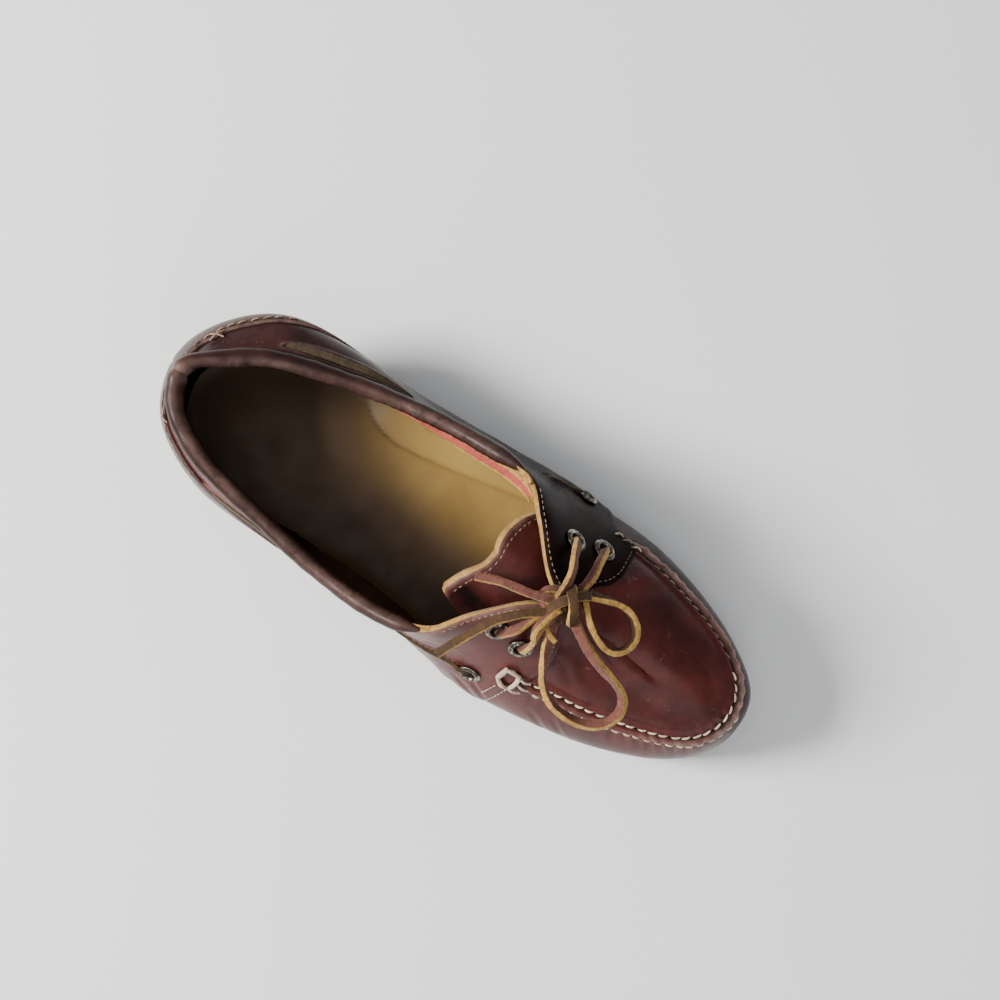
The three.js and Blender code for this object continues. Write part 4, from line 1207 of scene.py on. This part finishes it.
def top_line(u):
    """Points of the top edge, with the directions up the last and inwards at each."""
    centre = last(u, TOP)
    rise = unit(centre - last(u, TOP - 0.2))
    _, _, direction = ring_at(u)
    return centre, rise, np.stack([direction[:, 1], direction[:, 0], np.zeros(len(u))], 1)


def add_collar():
    """Padded roll round the top line, its ends tucked in at the eyestay, butted at the back of the heel."""
    end = CORNER - 0.12
    steps, sides = 520, 28
    u = np.linspace(-end, end, steps + 1)
    centre, rise, inward = top_line(u)
    inward = unit(inward - rise * (inward * rise).sum(1, keepdims=True))
    along = travel(centre)
    half = along[-1] / 2
    from_end = np.clip(np.minimum(along, along[-1] - along) / COLLAR_TAPER, 0, 1)
    size = 0.2 + 0.8 * np.sin(from_end * math.pi / 2) ** 0.8
    centre = centre - rise * (1.6 * (1 - from_end) ** 2)[:, None]
    wide = 1 + 0.14 * bell(u, 2.2)[:, None]
    angle = 2 * math.pi * np.arange(sides) / sides
    pinch = 0.035 * np.sin(along * 0.21 + 0.8 * np.sin(along * 0.05)) + 0.02 * np.sin(along * 0.63 + 1)
    butt = 0.16 * bell(along - half, 1.1) - 0.07 * bell(np.abs(along - half) - 3.2, 2)
    radius = (size * (1 + pinch - butt))[:, None]
    ripples = np.sin(along[:, None] * 1.7 + 3 * np.sin(angle[None, :] * 2))
    wrinkle = 1 + 0.018 * ripples * smoothstep(np.cos(angle), -0.2, 0.8)
    cross = np.cos(angle)[None, :] * ROLL_HALF_WIDTH * radius * wrinkle * wide
    tall = np.sin(angle)[None, :] * ROLL_HALF_HEIGHT * radius * wrinkle
    rings = centre[:, None] + inward[:, None] * cross[..., None] + rise[:, None] * tall[..., None]
    # Painted highlight along the roll's crest, and the back of the heel lighter, rubbing and painted sheen
    # together.
    crest = smoothstep(np.sin(angle), 0.5, 0.98)[None, :] * (0.2 + 0.3 * np.sin(along * 0.04)[:, None] ** 2)
    wear_and_sheen = np.clip(crest + 0.8 * bell(along - half, 4)[:, None], 0, 1)
    # Painted shade on the roll's underside; the whole roll a little darker and duller.
    under = smoothstep(-np.sin(angle), 0.55, 0.95)[None, :] * np.ones((len(u), 1))
    painted_shade = np.clip(under + 0.3, 0, 1)
    obj = swept("collar_roll", rings, [collar_leather], values={"wear_and_sheen": wear_and_sheen, "painted_shade": painted_shade}, dome=0.8)
    return dress(obj, "collar_leather", "collar")


HEEL_LINING_END = 80  # how far forward the heel piece of the lining reaches
MEDIAL_LINING_END = 168  # and the medial side, dark as painted shade


def add_lining():
    """Lining of the whole inside: a heel piece, a medial side dark with the heel leather as painted shade, and
    a pale lateral side.
    """
    n_end = 10.4
    u = np.linspace(-n_end, n_end, 330)[:, None]
    level = np.linspace(0, 1, 46)[None, :]
    n = np.abs(u) * np.ones_like(level)
    grid_u = u * np.ones_like(level)
    low, high = 0.22, TOP - 0.015
    w = low + level * (high - low) * np.ones_like(grid_u)
    base = last(grid_u, w)
    normal = last_normal(grid_u, np.minimum(w, 2.97))
    wave = 0.25 * np.sin(n * 3.1 + w * 2.3) * np.sin(w * 5)
    heel = 1 - smoothstep(base[..., 1], HEEL_LINING_END - 3, HEEL_LINING_END + 3)
    seam = -0.4 * bell(base[..., 1] - HEEL_LINING_END - 1, 0.8)
    thin = 0.25 * smoothstep(level, 0.97, 1.0)
    inner = base - normal * (WALL - wave - seam - thin + 0.25 * heel)[..., None]
    # Painted shade, darkest towards the heel and deepening near the insole.
    to_heel = 1 - smoothstep(base[..., 1], HEEL_LINING_END, HEEL_LINING_END + 20)
    painted_shade = np.clip(0.85 * to_heel + 0.35 * bell(level * 30, 8), 0, 1)
    obj = shell("lining", base - normal * 1.3, inner, [pale_lining, pale_lining, raw_edge], kept_cells(base),
                values={"painted_shade": painted_shade, "wear_and_sheen": np.zeros_like(w)})
    obj.data.materials.append(heel_lining)
    middles = np.array([p.center[:] for p in obj.data.polygons]) * MM
    forward, across = ORIGIN_Y - middles[:, 1], middles[:, 0] - ORIGIN_X
    kinds = np.array([p.material_index for p in obj.data.polygons])
    # The heel piece takes the dark heel leather; so does the medial side, as painted shade.
    dark = (forward < HEEL_LINING_END) | ((across < 0) & (forward < MEDIAL_LINING_END))
    kinds[dark & (kinds == 1)] = 3
    obj.data.polygons.foreach_set("material_index", kinds.astype(np.int32))
    return dress(obj, "footbed_leather")


# Bands under the lateral collar: stations, then both edges as (inwards, upwards) from the roll's axis.
TAPE_BANDS = [
    ("collar_tape", red_tape, (3.15, 6.3), (2.6, -2.2), (6.6, -3.9)),
    ("tape_edge", raw_edge, (3.3, 6.4), (2.2, -0.9), (4.0, -1.7)),
    ("lining_edge", raw_edge, (4.2, 6.4), (6.4, -4.1), (7.5, -4.9)),
]


def add_collar_tape():
    """Red tape that shows between the lateral collar and the lining, between tan cut edges."""
    for name, material, ends, near, far in TAPE_BANDS:
        u = np.linspace(*ends, 160)
        centre, rise, inward = top_line(u)
        share = (u - ends[0]) / (ends[1] - ends[0])
        wide = np.sin(np.clip(share, 0.004, 1) * math.pi / 1.6) ** 0.7 * (1 + 0.03 * np.sin(u * 9))
        level = np.linspace(0, 1, 9)
        spread = level[None, :] * wide[:, None]
        across = near[0] + (far[0] - near[0]) * spread
        drop = near[1] + (far[1] - near[1]) * spread + 0.35 * np.sin(level * math.pi)[None, :]
        outer = centre[:, None] + inward[:, None] * across[..., None] + rise[:, None] * drop[..., None]
        thick = 0.5
        dress(shell(name, outer, outer - rise[:, None] * thick, [material]), "footbed_leather")


def add_torn_corner():
    """Torn flake of raw leather that stands up where the lateral collar meets the eyestay."""
    columns, thick = 40, 2.4
    u = np.linspace(CORNER - 0.3, CORNER + 0.16, columns)
    centre, rise, inward = top_line(u)
    share = np.linspace(0, 1, columns)
    wide = 3.2 * share**0.8 * (1 - share**6) * (1 + 0.08 * np.sin(share * 24)) + 0.15
    level = np.linspace(-0.35, 1, 10)
    height = 2.1 - 1.1 * level[None, :] + 0.2 * np.sin(share * 9)[:, None] * level[None, :]
    across = wide[:, None] * level
    outer = centre[:, None] + inward[:, None] * across[..., None] + rise[:, None] * height[..., None]
    dress(shell("torn_corner", outer, outer - rise[:, None] * thick, [raw_edge]), "collar_leather")


add_vamp()
add_quarter("lateral")
add_quarter("medial")
add_heel_cover()
add_collar()
add_lining()
add_collar_tape()
add_torn_corner()


# ---------------------------------------------------------------- tongue, insole, sole
def tongue_surface(rows, across):
    """Upper face of the tongue, back edge first, as a grid (across, rows, 3)."""
    table = np.array(TONGUE, float)
    lateral, middle, medial = (spline(table[:, k], rows) for k in range(3))
    t = np.linspace(0, 1, across)[:, None, None]
    grid = (1 - t) * (1 - 2 * t) * lateral + 4 * t * (1 - t) * middle + t * (2 * t - 1) * medial
    back = np.exp(-np.linspace(0, 4, rows))[None, :]
    share = t[..., 0]
    lobe = -5.6 * np.sin(math.pi * np.clip((share + 0.14) / 0.66, 0, 1))
    notch = 2.2 * bell(share - 0.66, 0.12)
    corner = 1.8 * smoothstep(share, 0.93, 1.0) ** 2
    grid[..., 1] += back * (lobe + notch + corner)
    waves = 0.25 * np.sin(share * 9 + np.linspace(0, 6, rows)[None, :])
    grid[..., 2] += 0.5 * np.sin(share * 19) * back + waves
    return grid


def grid_normals(p):
    """Directions straight out of a grid of places, upwards."""
    n = unit(np.cross(np.gradient(p, axis=0), np.gradient(p, axis=1)))
    return n * np.where(n[..., 2:] < 0, -1, 1)


TONGUE_GRID = 90  # points each way over the tongue


def add_tongue():
    """Tongue leather with a turned back edge; painted shade darkens its front, where it goes under the knot,
    and its medial side.
    """
    surface = tongue_surface(TONGUE_GRID, TONGUE_GRID)
    normal = grid_normals(surface)
    long, wide = 60, 50
    edge = np.ones(surface.shape[:2]) * np.linspace(0, long, TONGUE_GRID)[None, :]
    side = np.minimum(np.linspace(0, wide, TONGUE_GRID), np.linspace(wide, 0, TONGUE_GRID))[:, None]
    rounding = 0.35 * (bell(edge, 0.8) + bell(side, 0.7))
    groove = 0.3 * bell(edge - 2.6, 0.5)
    outer = surface - normal * (rounding + groove)[..., None]
    backward = unit(surface[:, :1] - surface[:, 4:5])
    bevel = 2.0 * smoothstep(-edge, -5, 0)[..., None] * backward
    inner = surface - normal * (TONGUE_THICK - rounding * 0.6)[..., None] + bevel
    wear_and_sheen = np.clip(0.5 * bell(edge, 2.2), 0, 1) * np.ones_like(edge)
    # Painted shadow over the medial side, painted shade towards the front, and the whole tongue a little
    # darker.
    tip = 0.95 * smoothstep(np.linspace(0, 1, TONGUE_GRID)[:, None], 0.74, 0.9) * smoothstep(edge, 1, 5)
    painted_shade = np.clip(tip + 0.3 + 0.4 * smoothstep(edge, 25, 45), 0, 1)
    obj = shell("tongue_leather", outer, inner, [upper_leather, flesh, raw_edge], wall_kinds=(0, 0, 2, 0),
                values={"wear_and_sheen": wear_and_sheen, "painted_shade": painted_shade})
    return dress(obj, "upper_leather", "tongue")


# Line where the footbed meets the lateral lining, which turns in under the foot: (s, x).
LINING_LINE = [(70, 40), (78, 31), (86, 26), (98, 23.5), (120, 25.8), (148, 30.4), (172, 35), (200, 44)]


def add_insole():
    """Footbed from wall to wall: it cups up at its edge, and the lateral lining covers its outer zone."""
    columns, rows = 390, 46
    u = np.arange(columns) * RING / columns
    up = np.linspace(0.02, 1.2, 60)
    wall = skin(u[:, None], up[None, :], np.full((columns, len(up)), -WALL - 0.1))
    cup_height = 3.6
    target = sole_top(wall[:, 0, 1]) + GAP + INSOLE_THICK + cup_height
    edge = np.array([[np.interp(t, row[:, 2], row[:, k]) for k in (0, 1)] for t, row in zip(target, wall)])
    v, _, _ = ring_at(u)
    spine = np.stack([v[:, 3], v[:, 2]], -1)
    level = (np.linspace(0, 1, rows) ** 1.35)[None, :, None]
    plan = edge[:, None] + (spine - edge)[:, None] * level
    x, s = plan[..., 0], plan[..., 1]
    feather = wall[:, 0, :2]
    under = feather[:, None] + (spine - feather)[:, None] * level
    under = np.concatenate([under, (sole_top(under[..., 1]) + GAP)[..., None]], -1)
    inset = np.linalg.norm(plan - edge[:, None], axis=-1)
    to_line = x - curve_at(LINING_LINE, s)
    zone = smoothstep(s, 66, 90) * (1 - smoothstep(s, 170, 200))
    fillet = 0.34 * np.clip(to_line, 0, None) * zone
    groove = -0.35 * bell(to_line + 0.4, 0.5) * zone
    cup = 2.4 * np.exp(-inset / 2.6) + 1.2 * np.exp(-inset / 9)
    hollow = -0.8 * bell(s - 40, 26) * smoothstep(inset, 2, 14)
    z = sole_top(s) + GAP + INSOLE_THICK + cup + hollow + fillet + groove + 0.15 * np.sin(s / 7 + x / 5)
    # Painted shadow of the heel and the medial wall: only a lateral zone in front of the heel stays bright;
    # painted shade in the groove at the lining line.
    bright = smoothstep(x + 0.12 * (s - 130), -10, 32) * smoothstep(s, 62, 132)
    painted_shade = np.clip(1 - bright + 0.3 * bell(to_line + 0.4, 0.6) * zone, 0, 1)
    green = smoothstep(to_line, -2.2, 2.6) * zone * (0.3 + 0.7 * smoothstep(s, 78, 126))
    obj = shell("footbed_insole", np.stack([x, s, z], -1), under,
                [footbed], wrap=True, joined_top=np.ones(columns, bool),
                values={"painted_shade": painted_shade, "wear_and_sheen": 0 * painted_shade, "zone": green})
    return dress(obj, "footbed_leather", "insole")


def underside(s):
    """Height of the sole's underside: heel, step, arch, flat forefoot, toe spring."""
    t = np.clip((FOREFOOT[0] - s) / (FOREFOOT[0] - HEEL_BREAST[1]), 0, 1)
    arch = ARCH_HEIGHT * t * t * (3 - 2 * t)
    step = ARCH_HEIGHT * (s - HEEL_BREAST[0]) / (HEEL_BREAST[1] - HEEL_BREAST[0])
    spring = TOE_SPRING * (np.clip(s - FOREFOOT[1], 0, None) / (TOE_END - FOREFOOT[1])) ** 2
    heel = np.clip((6 - s) * 0.35, 0, None)
    return np.select([s < HEEL_BREAST[0], s < HEEL_BREAST[1], s < FOREFOOT[0]], [heel, step, arch], spring)


# Section of the sole's edge: (outwards from the upper's lower edge, share of the height, millimetres added).
SOLE_SECTION = [
    (-7, 1, 0), (-1, 1, 0), (1.4, 1, -0.05), (2.4, 1, -0.35), (2.9, 1, -1.0), (3.0, 1, -2.4),
    (2.9, 1, -3.6), (2.3, 1, -4.1), (2.3, 1, -4.7), (2.9, 1, -5.2), (3.0, 0.5, 0), (2.9, 0, 2.6),
    (2.75, 0, 1.3), (2.2, 0, 0.45), (1.4, 0, 0.05), (0, 0, 0), (-5, 0, 0),
]


def zigzag_cutters():
    """Chevron channels of the tread, and the fine wavy cuts between them, as one mesh of bars."""
    points, faces = [], []
    low = -4

    def bar(line, half, high):
        """A bar along (x, s) points, from below the sole up to a height."""
        start = len(points)
        n = len(line)
        for z in (low, high):
            for side in (-half, half):
                points.extend((x, s + side, z) for x, s in line)
        a, b, c, d = (start + np.arange(n) + k * n for k in range(4))
        for p, q in ((a, b), (b, d), (d, c), (c, a)):
            faces.extend([int(p[i]), int(q[i]), int(q[i + 1]), int(p[i + 1])] for i in range(n - 1))
        faces.append([int(a[0]), int(c[0]), int(d[0]), int(b[0])])
        faces.append([int(a[-1]), int(b[-1]), int(d[-1]), int(c[-1])])

    for first, final, count in TREAD_ROWS:
        for s in np.linspace(first, final, count):
            arm = TREAD_LEAN * 1.6
            chevron = [(-70, s + arm), (0, s - TREAD_LEAN), (70, s + arm)]
            bar(chevron, TREAD_WIDTH / 2, underside(s) + TREAD_DEPTH)
        pitch = (final - first) / (count - 1)
        for s in np.arange(first - pitch / 2, final + pitch, pitch / 2):
            x = np.linspace(-34, 34, 35)
            wave = s + np.abs(x) * 0.229 - TREAD_LEAN + 1.1 * np.sin(x * 1.2)
            if (s - first) / pitch % 1 > 0.25:
                bar(list(zip(x, wave)), 0.35, float(underside(np.float64(s))) + 1.3)
    return points, faces


def add_outsole():
    """Rubber sole with a foxing line round its edge and the tread cut into it."""
    section = np.array(SOLE_SECTION)
    centre_rows = np.linspace(0, 1, 9)[1:]
    columns = 416
    v, length, direction = ring_at(np.arange(columns) * RING / columns)
    edge = v[:, 4, None] - section[:, 0]
    to_middle = edge[:, -1:] + (length[:, None] - edge[:, -1:]) * centre_rows
    from_middle = (edge[:, :1] + (length[:, None] - edge[:, :1]) * centre_rows)[:, ::-1]
    r = np.concatenate([from_middle, edge, to_middle], 1)
    x = v[:, 1, None] + direction[:, 1, None] * r
    s = v[:, 0, None] + direction[:, 0, None] * r
    top, low = sole_top(s), underside(s)
    count = len(centre_rows)
    share = np.concatenate([np.ones(count), section[:, 1], np.zeros(count)])
    extra = np.concatenate([np.zeros(count), section[:, 2], np.zeros(count)])
    z = low + (top - low) * share + extra
    grid = np.stack([x, s, z], -1)
    index = np.arange(grid.shape[0] * grid.shape[1]).reshape(grid.shape[:2])
    nxt = np.roll(index, -1, 0)
    quads = np.stack([index[:, :-1], nxt[:, :-1], nxt[:, 1:], index[:, 1:]], -1).reshape(-1, 4)
    points = grid.reshape(-1, 3)
    wear_and_sheen = np.clip(bell(z - low - 1.0, 1.6) + 0.4 * bell(top - z - 0.5, 0.8), 0, 1)
    obj = mesh_object("sole_rubber_unit", points, outward(points, quads), [dark_rubber],
                      values={"wear_and_sheen": wear_and_sheen.ravel()})
    weld(obj)
    bar_points, bar_faces = zigzag_cutters()
    cutter = mesh_object("tread_cutter", np.array(bar_points, float), bar_faces, [dark_rubber])
    turn_outward(cutter)
    cut = obj.modifiers.new("tread", "BOOLEAN")
    cut.operation, cut.solver, cut.object = "DIFFERENCE", "EXACT", cutter
    apply_modifiers(obj)
    bpy.data.objects.remove(cutter)
    obj.data.set_sharp_from_angle(angle=math.radians(50))
    return dress(obj, "sole_rubber", "outsole")


def apply_modifiers(obj):
    """Puts the result of an object's modifiers in place of its mesh."""
    bpy.context.view_layer.update()
    result = bpy.data.meshes.new_from_object(obj.evaluated_get(bpy.context.evaluated_depsgraph_get()))
    obj.modifiers.clear()
    obj.data = result


# Section of an eyelet: (radius, height over the leather).
EYELET_SECTION = [
    (EYELET_BORE, -2.4), (EYELET_BORE, 0.9), (EYELET_BORE + 0.35, 1.75), (EYELET_BORE + 0.8, 2.0),
    (EYELET_BORE + 1.3, 1.9), (EYELET_R - 0.1, 1.6), (EYELET_R + 0.35, 1.2), (EYELET_R + 0.2, 0.7),
    (EYELET_BORE + 0.55, 0.6), (EYELET_BORE + 0.5, -2.4),
]


def add_eyelet(name):
    """A turned flange with a rolled bore and a ring of fine beading."""
    at, out = eyelet_axis(name)
    radius, height = line_on(EYELET_SECTION, 34)
    turns = 72
    angle = 2 * math.pi * np.arange(turns) / turns
    side = unit(np.cross(out, (0, 1, 0)))
    other = np.cross(out, side)
    bead = 0.14 * bell(radius - (EYELET_BORE + 1.5), 0.35) * np.cos(angle * 18)[:, None]
    lift = height + OVERLAY - 0.35 + bead
    around = np.cos(angle)[:, None, None] * side + np.sin(angle)[:, None, None] * other
    p = at + radius[:, None] * around + lift[..., None] * out
    count = len(radius)
    index = np.arange(turns * count).reshape(turns, count)
    nxt = np.roll(index, -1, 0)
    quads = np.stack([index, nxt, np.roll(nxt, -1, 1), np.roll(index, -1, 1)], -1).reshape(-1, 4)
    points = p.reshape(-1, 3)
    obj = mesh_object(name + "_ring", points, outward(points, quads), [eyelet_metal])
    return dress(obj, "eyelet_metal", name)


add_tongue()
add_insole()
add_outsole()
for eyelet in EYELETS:
    add_eyelet(eyelet)


# ---------------------------------------------------------------- stitches
def stitches(name, line, normals, pitch, length, radius, material, slant=0.0, lift=0.35, seed=0):
    """One mesh of thread stitches along a line; each dips into the leather at its ends."""
    along = travel(line)
    count = max(1, int(along[-1] / pitch))
    rng = np.random.default_rng(seed)
    starts = (np.arange(count) + 0.5) * pitch - length / 2 + rng.uniform(-0.12, 0.12, count) * pitch

    def at(d, array):
        """The array's row at a length along the line."""
        return np.stack([np.interp(d, along, array[:, k]) for k in range(3)], -1)

    rings, sides = 9, 8
    t = np.linspace(0, 1, rings)
    angle = 2 * math.pi * np.arange(sides) / sides
    points, faces = [], []
    for k, start in enumerate(starts):
        a, b = at(start, line), at(start + length * rng.uniform(0.92, 1.06), line)
        n = unit(at(start + length / 2, normals))
        across = unit(np.cross(b - a, n))
        lean = slant + rng.uniform(-0.12, 0.12)
        off_middle = 2 * t - 1
        arch = lift * (1 - off_middle**2) - lift * 0.75 * np.abs(off_middle) ** 4
        middle = a + (b - a) * t[:, None] + across * (lean * (t - 0.5))[:, None] + n * arch[:, None]
        swell = radius * (1 - np.abs(off_middle) ** 3.2) ** 0.5 * rng.uniform(0.92, 1.08)
        swell = np.maximum(swell, radius * 0.12) * (1 + 0.06 * np.sin(t * 21))
        around = np.cos(angle)[:, None] * across + np.sin(angle)[:, None] * n * 0.85
        ring = middle[:, None] + swell[:, None, None] * around
        base = len(points) * rings * sides
        end = base + (rings - 1) * sides
        points.append(ring.reshape(-1, 3))
        faces += tube_faces(rings, sides, base).tolist()
        faces += [list(range(base, base + sides))[::-1], list(range(end, end + sides))]
    points = np.concatenate(points)
    first = np.array(faces[:(rings - 1) * sides])
    if outward(points, first)[0, 0] != first[0, 0]:
        faces = [f[::-1] for f in faces]
    return dress(mesh_object(name, points, faces, [material]))


ROW_POINTS = 240


def seam_row(u_from, u_to, distance, lift):
    """A line beside the moccasin seam at a distance from it, on the relief."""
    u = np.linspace(u_from, u_to, 500)
    d = np.full((len(u), 1), float(distance))
    w = heights_at(u, d)[:, 0]
    relief = vamp_relief(u, d[:, 0], seam_travel(u))
    return skin(u, w, relief + lift), last_normal(u, w)


def surface_row(places, lift, medial=False):
    """A smooth line through (stations from the heel, w) places, lifted off the last."""
    n, w = line_on(places, ROW_POINTS)
    u = side_station(n, medial)
    return skin(u, w, np.full(len(n), lift)), last_normal(u, w)


def edge_row(medial, n_from, n_to, inside, lift):
    """A line at a distance inside the opening's edge."""
    n = np.linspace(n_from, n_to, ROW_POINTS)
    u = side_station(n, medial)
    w = TOP - inside / seam_to_top(u) * 0.93
    return skin(u, w, np.full(len(n), lift)), last_normal(u, w)


def front_row(table, w_from, w_to, inside, lift, medial=False):
    """A line inside a quarter's front edge."""
    w = np.linspace(w_from, w_to, ROW_POINTS)
    n = front_edge(table, w)
    u = side_station(n, medial)
    line, normal = skin(u, w, np.full(len(n), lift)), last_normal(u, w)
    tangent = unit(np.gradient(line, axis=0))
    aside = np.cross(tangent, normal)
    back = last(u + (0.05 if medial else -0.05), w) - last(u, w)
    aside *= np.sign((aside * back).sum(1, keepdims=True))
    return line + aside * inside, normal


def add_stitches():
    """Every row of stitches on the shoe."""
    line, normal = seam_row(9.3, 11.6, 1.5, 0.25)
    stitches("stitches_seam_rubbed", line, normal, 4.7, 3.6, 0.4, dirty_thread, slant=0.8, lift=0.2, seed=1)
    line, normal = seam_row(11.6, 17.42, 1.6, 0.3)
    stitches("stitches_seam_inner", line, normal, 4.7, 3.9, 0.5, cream_thread, slant=0.8, lift=0.3, seed=1)
    line, normal = seam_row(12.6, 17.36, -RIDGE_WIDTH + 0.3, 0.15)
    stitches("stitches_seam_outer", line, normal, 4.7, 3.9, 0.5, cream_thread, slant=-0.5, lift=0.35, seed=2)
    for k, medial in enumerate((False, True)):
        side = "medial" if medial else "lateral"
        places = [(a, b - 0.1) for a, b in COVER_TOP[2:9]]
        line, normal = surface_row(places, OVERLAY + COVER + 0.05, medial)
        stitches("stitches_heel_" + side, line, normal, 5.4, 4.2, 0.4, tan_thread,
                 slant=0.5, lift=0.3, seed=3 + k)
        line, normal = surface_row([(0.1, 2.78), (0.3, 2.7), (0.5, 2.6)], OVERLAY + COVER + 0.05, medial)
        stitches("stitches_heel_top_" + side, line, normal, 2.6, 1.7, 0.26, tan_thread, lift=0.2, seed=5 + k)
        line, normal = edge_row(medial, 6.35, 8.6, 3.1, OVERLAY + 0.05)
        stitches("stitches_eyestay_" + side, line, normal, 2.6, 1.7, 0.2, tan_thread, lift=0.14, seed=7 + k)
    line, normal = front_row(LATERAL_FRONT, 2.02, 2.78, 2.0, OVERLAY + 0.05)
    stitches("stitches_tab_lateral", line, normal, 2.6, 1.7, 0.2, dirty_thread, lift=0.14, seed=11)
    line, normal = front_row(MEDIAL_FRONT, 2.3, 2.8, 2.0, OVERLAY + 0.05, True)
    stitches("stitches_tab_medial", line, normal, 2.6, 1.7, 0.2, dirty_thread, lift=0.14, seed=12)
    for k, (start, end) in enumerate((((8.12, 1.8), (7.88, 1.43)), ((8.38, 1.87), (8.04, 1.27)))):
        places = [start, ((start[0] + end[0]) / 2, (start[1] + end[1]) / 2), end]
        line, normal = surface_row(places, OVERLAY + 0.1, True)
        stitches(f"stitches_join_{k}", line, normal, 2.7, 1.9, 0.24, cream_thread, lift=0.2, seed=13 + k)
    surface = tongue_surface(TONGUE_GRID, TONGUE_GRID)
    line, normal = surface[3:-3, 5], grid_normals(surface)[3:-3, 5]
    stitches("stitches_tongue", line, normal, 3.0, 1.8, 0.2, tan_thread, lift=0.14, seed=17)
    # Dark suede dashes, half sunk in the leather, are painted shade for empty stitch holes.
    line, normal = surface_row([(1.1, 2.62), (1.5, 2.68), (1.95, 2.72)], OVERLAY - 0.15)
    stitches("stitch_hole_shade", line, normal, 2.4, 1.1, 0.3, dark_suede, lift=0.1, seed=18)


def thread_path(name, points, radius, material):
    """A single round thread through listed points."""
    line, _ = evenly(spline(points, 120), 0.35)
    side, normal = moving_frames(line, (0.1, 0.2, 1))
    sides = 10
    angle = 2 * math.pi * np.arange(sides) / sides
    fat = radius * (1 + 0.08 * np.sin(np.arange(len(line)) * 1.4))[:, None, None]
    around = np.cos(angle)[:, None] * side[:, None] + np.sin(angle)[:, None] * normal[:, None]
    return dress(swept(name, line[:, None] + fat * around, [material], dome=radius * 0.5))


def on_quarter(n, w, lift, medial=True):
    """A place lifted off the last, by its station from the heel and height."""
    u = np.array([side_station(n, medial)], float)
    return tuple(skin(u, np.array([w], float), np.array([lift]))[0])


def thread_bridge(name, a, b, lifts, radius, material, medial=True):
    """A thread from one (n, w) place to another; lifts are at its start, middle and end."""
    middle = ((a[0] + b[0]) / 2, (a[1] + b[1]) / 2)
    points = [on_quarter(*place, lift, medial) for place, lift in zip((a, middle, b), lifts)]
    return thread_path(name, points, radius, material)


# Ring of thread on the medial side: (n, w, lift). Then short threads from one (n, w) place to another.
THREAD_RING = [
    (8.17, 2.16, 1.5), (8.10, 2.05, 2.2), (8.08, 1.97, 1.4), (8.2, 1.87, 2.2), (8.34, 1.84, 1.4),
    (8.42, 1.95, 2.2), (8.46, 2.08, 1.5), (8.33, 2.15, 2.3), (8.16, 2.16, 1.6),
]
THREAD_TAILS = [((8.44, 2.0), (8.74, 1.93)), ((8.46, 2.1), (8.72, 2.06)), ((8.3, 1.86), (8.6, 1.83))]
THREAD_TURNS = [((8.42, 2.0), (8.58, 1.97)), ((8.62, 2.03), (8.78, 2.0)), ((8.84, 2.05), (9.0, 2.02))]
THREAD_CROSSES = [((0.9, 2.56), (1.2, 2.38)), ((0.92, 2.38), (1.18, 2.55))]


def add_thread_lumps():
    """Hand-tied ends of the seam's thread, and the crosses of thread at the back of the heel."""
    for k, extra in enumerate((0.0, 0.55)):
        wander = np.random.default_rng(41 + k).uniform(-0.014, 0.014, (len(THREAD_RING), 2))
        apart = 0.02 * k
        points = [on_quarter(n + a + apart, w + b + apart, lift + extra)
                  for (n, w, lift), (a, b) in zip(THREAD_RING, wander)]
        thread_path(f"thread_ring_{k}", points, 0.82, worn_thread)
    for k, (a, b) in enumerate(THREAD_TAILS):
        thread_bridge(f"thread_tail_{k}", a, b, (1.4, 2.6, 1.5), 0.55, worn_thread)
    for k, (a, b) in enumerate(THREAD_TURNS):
        material = tan_thread if k % 2 else cream_thread
        thread_bridge(f"thread_turn_{k}", a, b, (1.0, 2.2, 1.2), 0.34, material, medial=False)
    for k, (a, b) in enumerate(THREAD_CROSSES):
        for medial in (False, True):
            thread_bridge(f"thread_cross_{k}_{int(medial)}", a, b, (2.3, 3.0, 2.3), 0.4, tan_thread, medial)


add_stitches()
add_thread_lumps()


# ---------------------------------------------------------------- floor and light
def add_floor():
    """The sheet of pale paper that the shoe stands on."""
    bpy.ops.mesh.primitive_grid_add(x_subdivisions=2, y_subdivisions=2, size=6, location=(0, 0, 0))
    floor = bpy.context.object
    floor.name = "floor"
    r = Recipe("floor")
    paper = r.ramp(r.noise(3, detail=2), [(0.3, (0.86, 0.86, 0.855, 1)), (0.7, (0.9, 0.9, 0.895, 1))])
    floor.data.materials.append(r.finished(paper, 0.9))


def add_light(name, place, aim, size, power, colour):
    """A square area light at a place in metres, turned to its aim."""
    data = bpy.data.lights.new(name, "AREA")
    data.energy, data.size, data.color = power, size, colour
    light = bpy.data.objects.new(name, data)
    light.location = place
    light.rotation_euler = (Vector(aim) - Vector(place)).to_track_quat("-Z", "Y").to_euler()
    bpy.context.scene.collection.objects.link(light)


def add_lights():
    """A small key light from the toe's side, a broad weak one above, a fill and a dim sky."""
    add_light("key", (-0.62, 1.2, 1.1), (0, 0, 0.03), 0.55, 66, (1.0, 0.975, 0.94))
    add_light("sky", (0.0, 0.2, 2.0), (0, 0, 0), 1.6, 10, (0.94, 0.97, 1.0))
    add_light("fill", (-0.8, -1.0, 1.1), (0, 0, 0.03), 1.5, 13, (0.97, 0.98, 1.0))
    world = bpy.data.worlds.new("studio")
    world.use_nodes = True
    background = world.node_tree.nodes["Background"]
    background.inputs["Color"].default_value = (0.95, 0.97, 1, 1)
    background.inputs["Strength"].default_value = 0.22
    bpy.context.scene.world = world


add_floor()
add_lights()
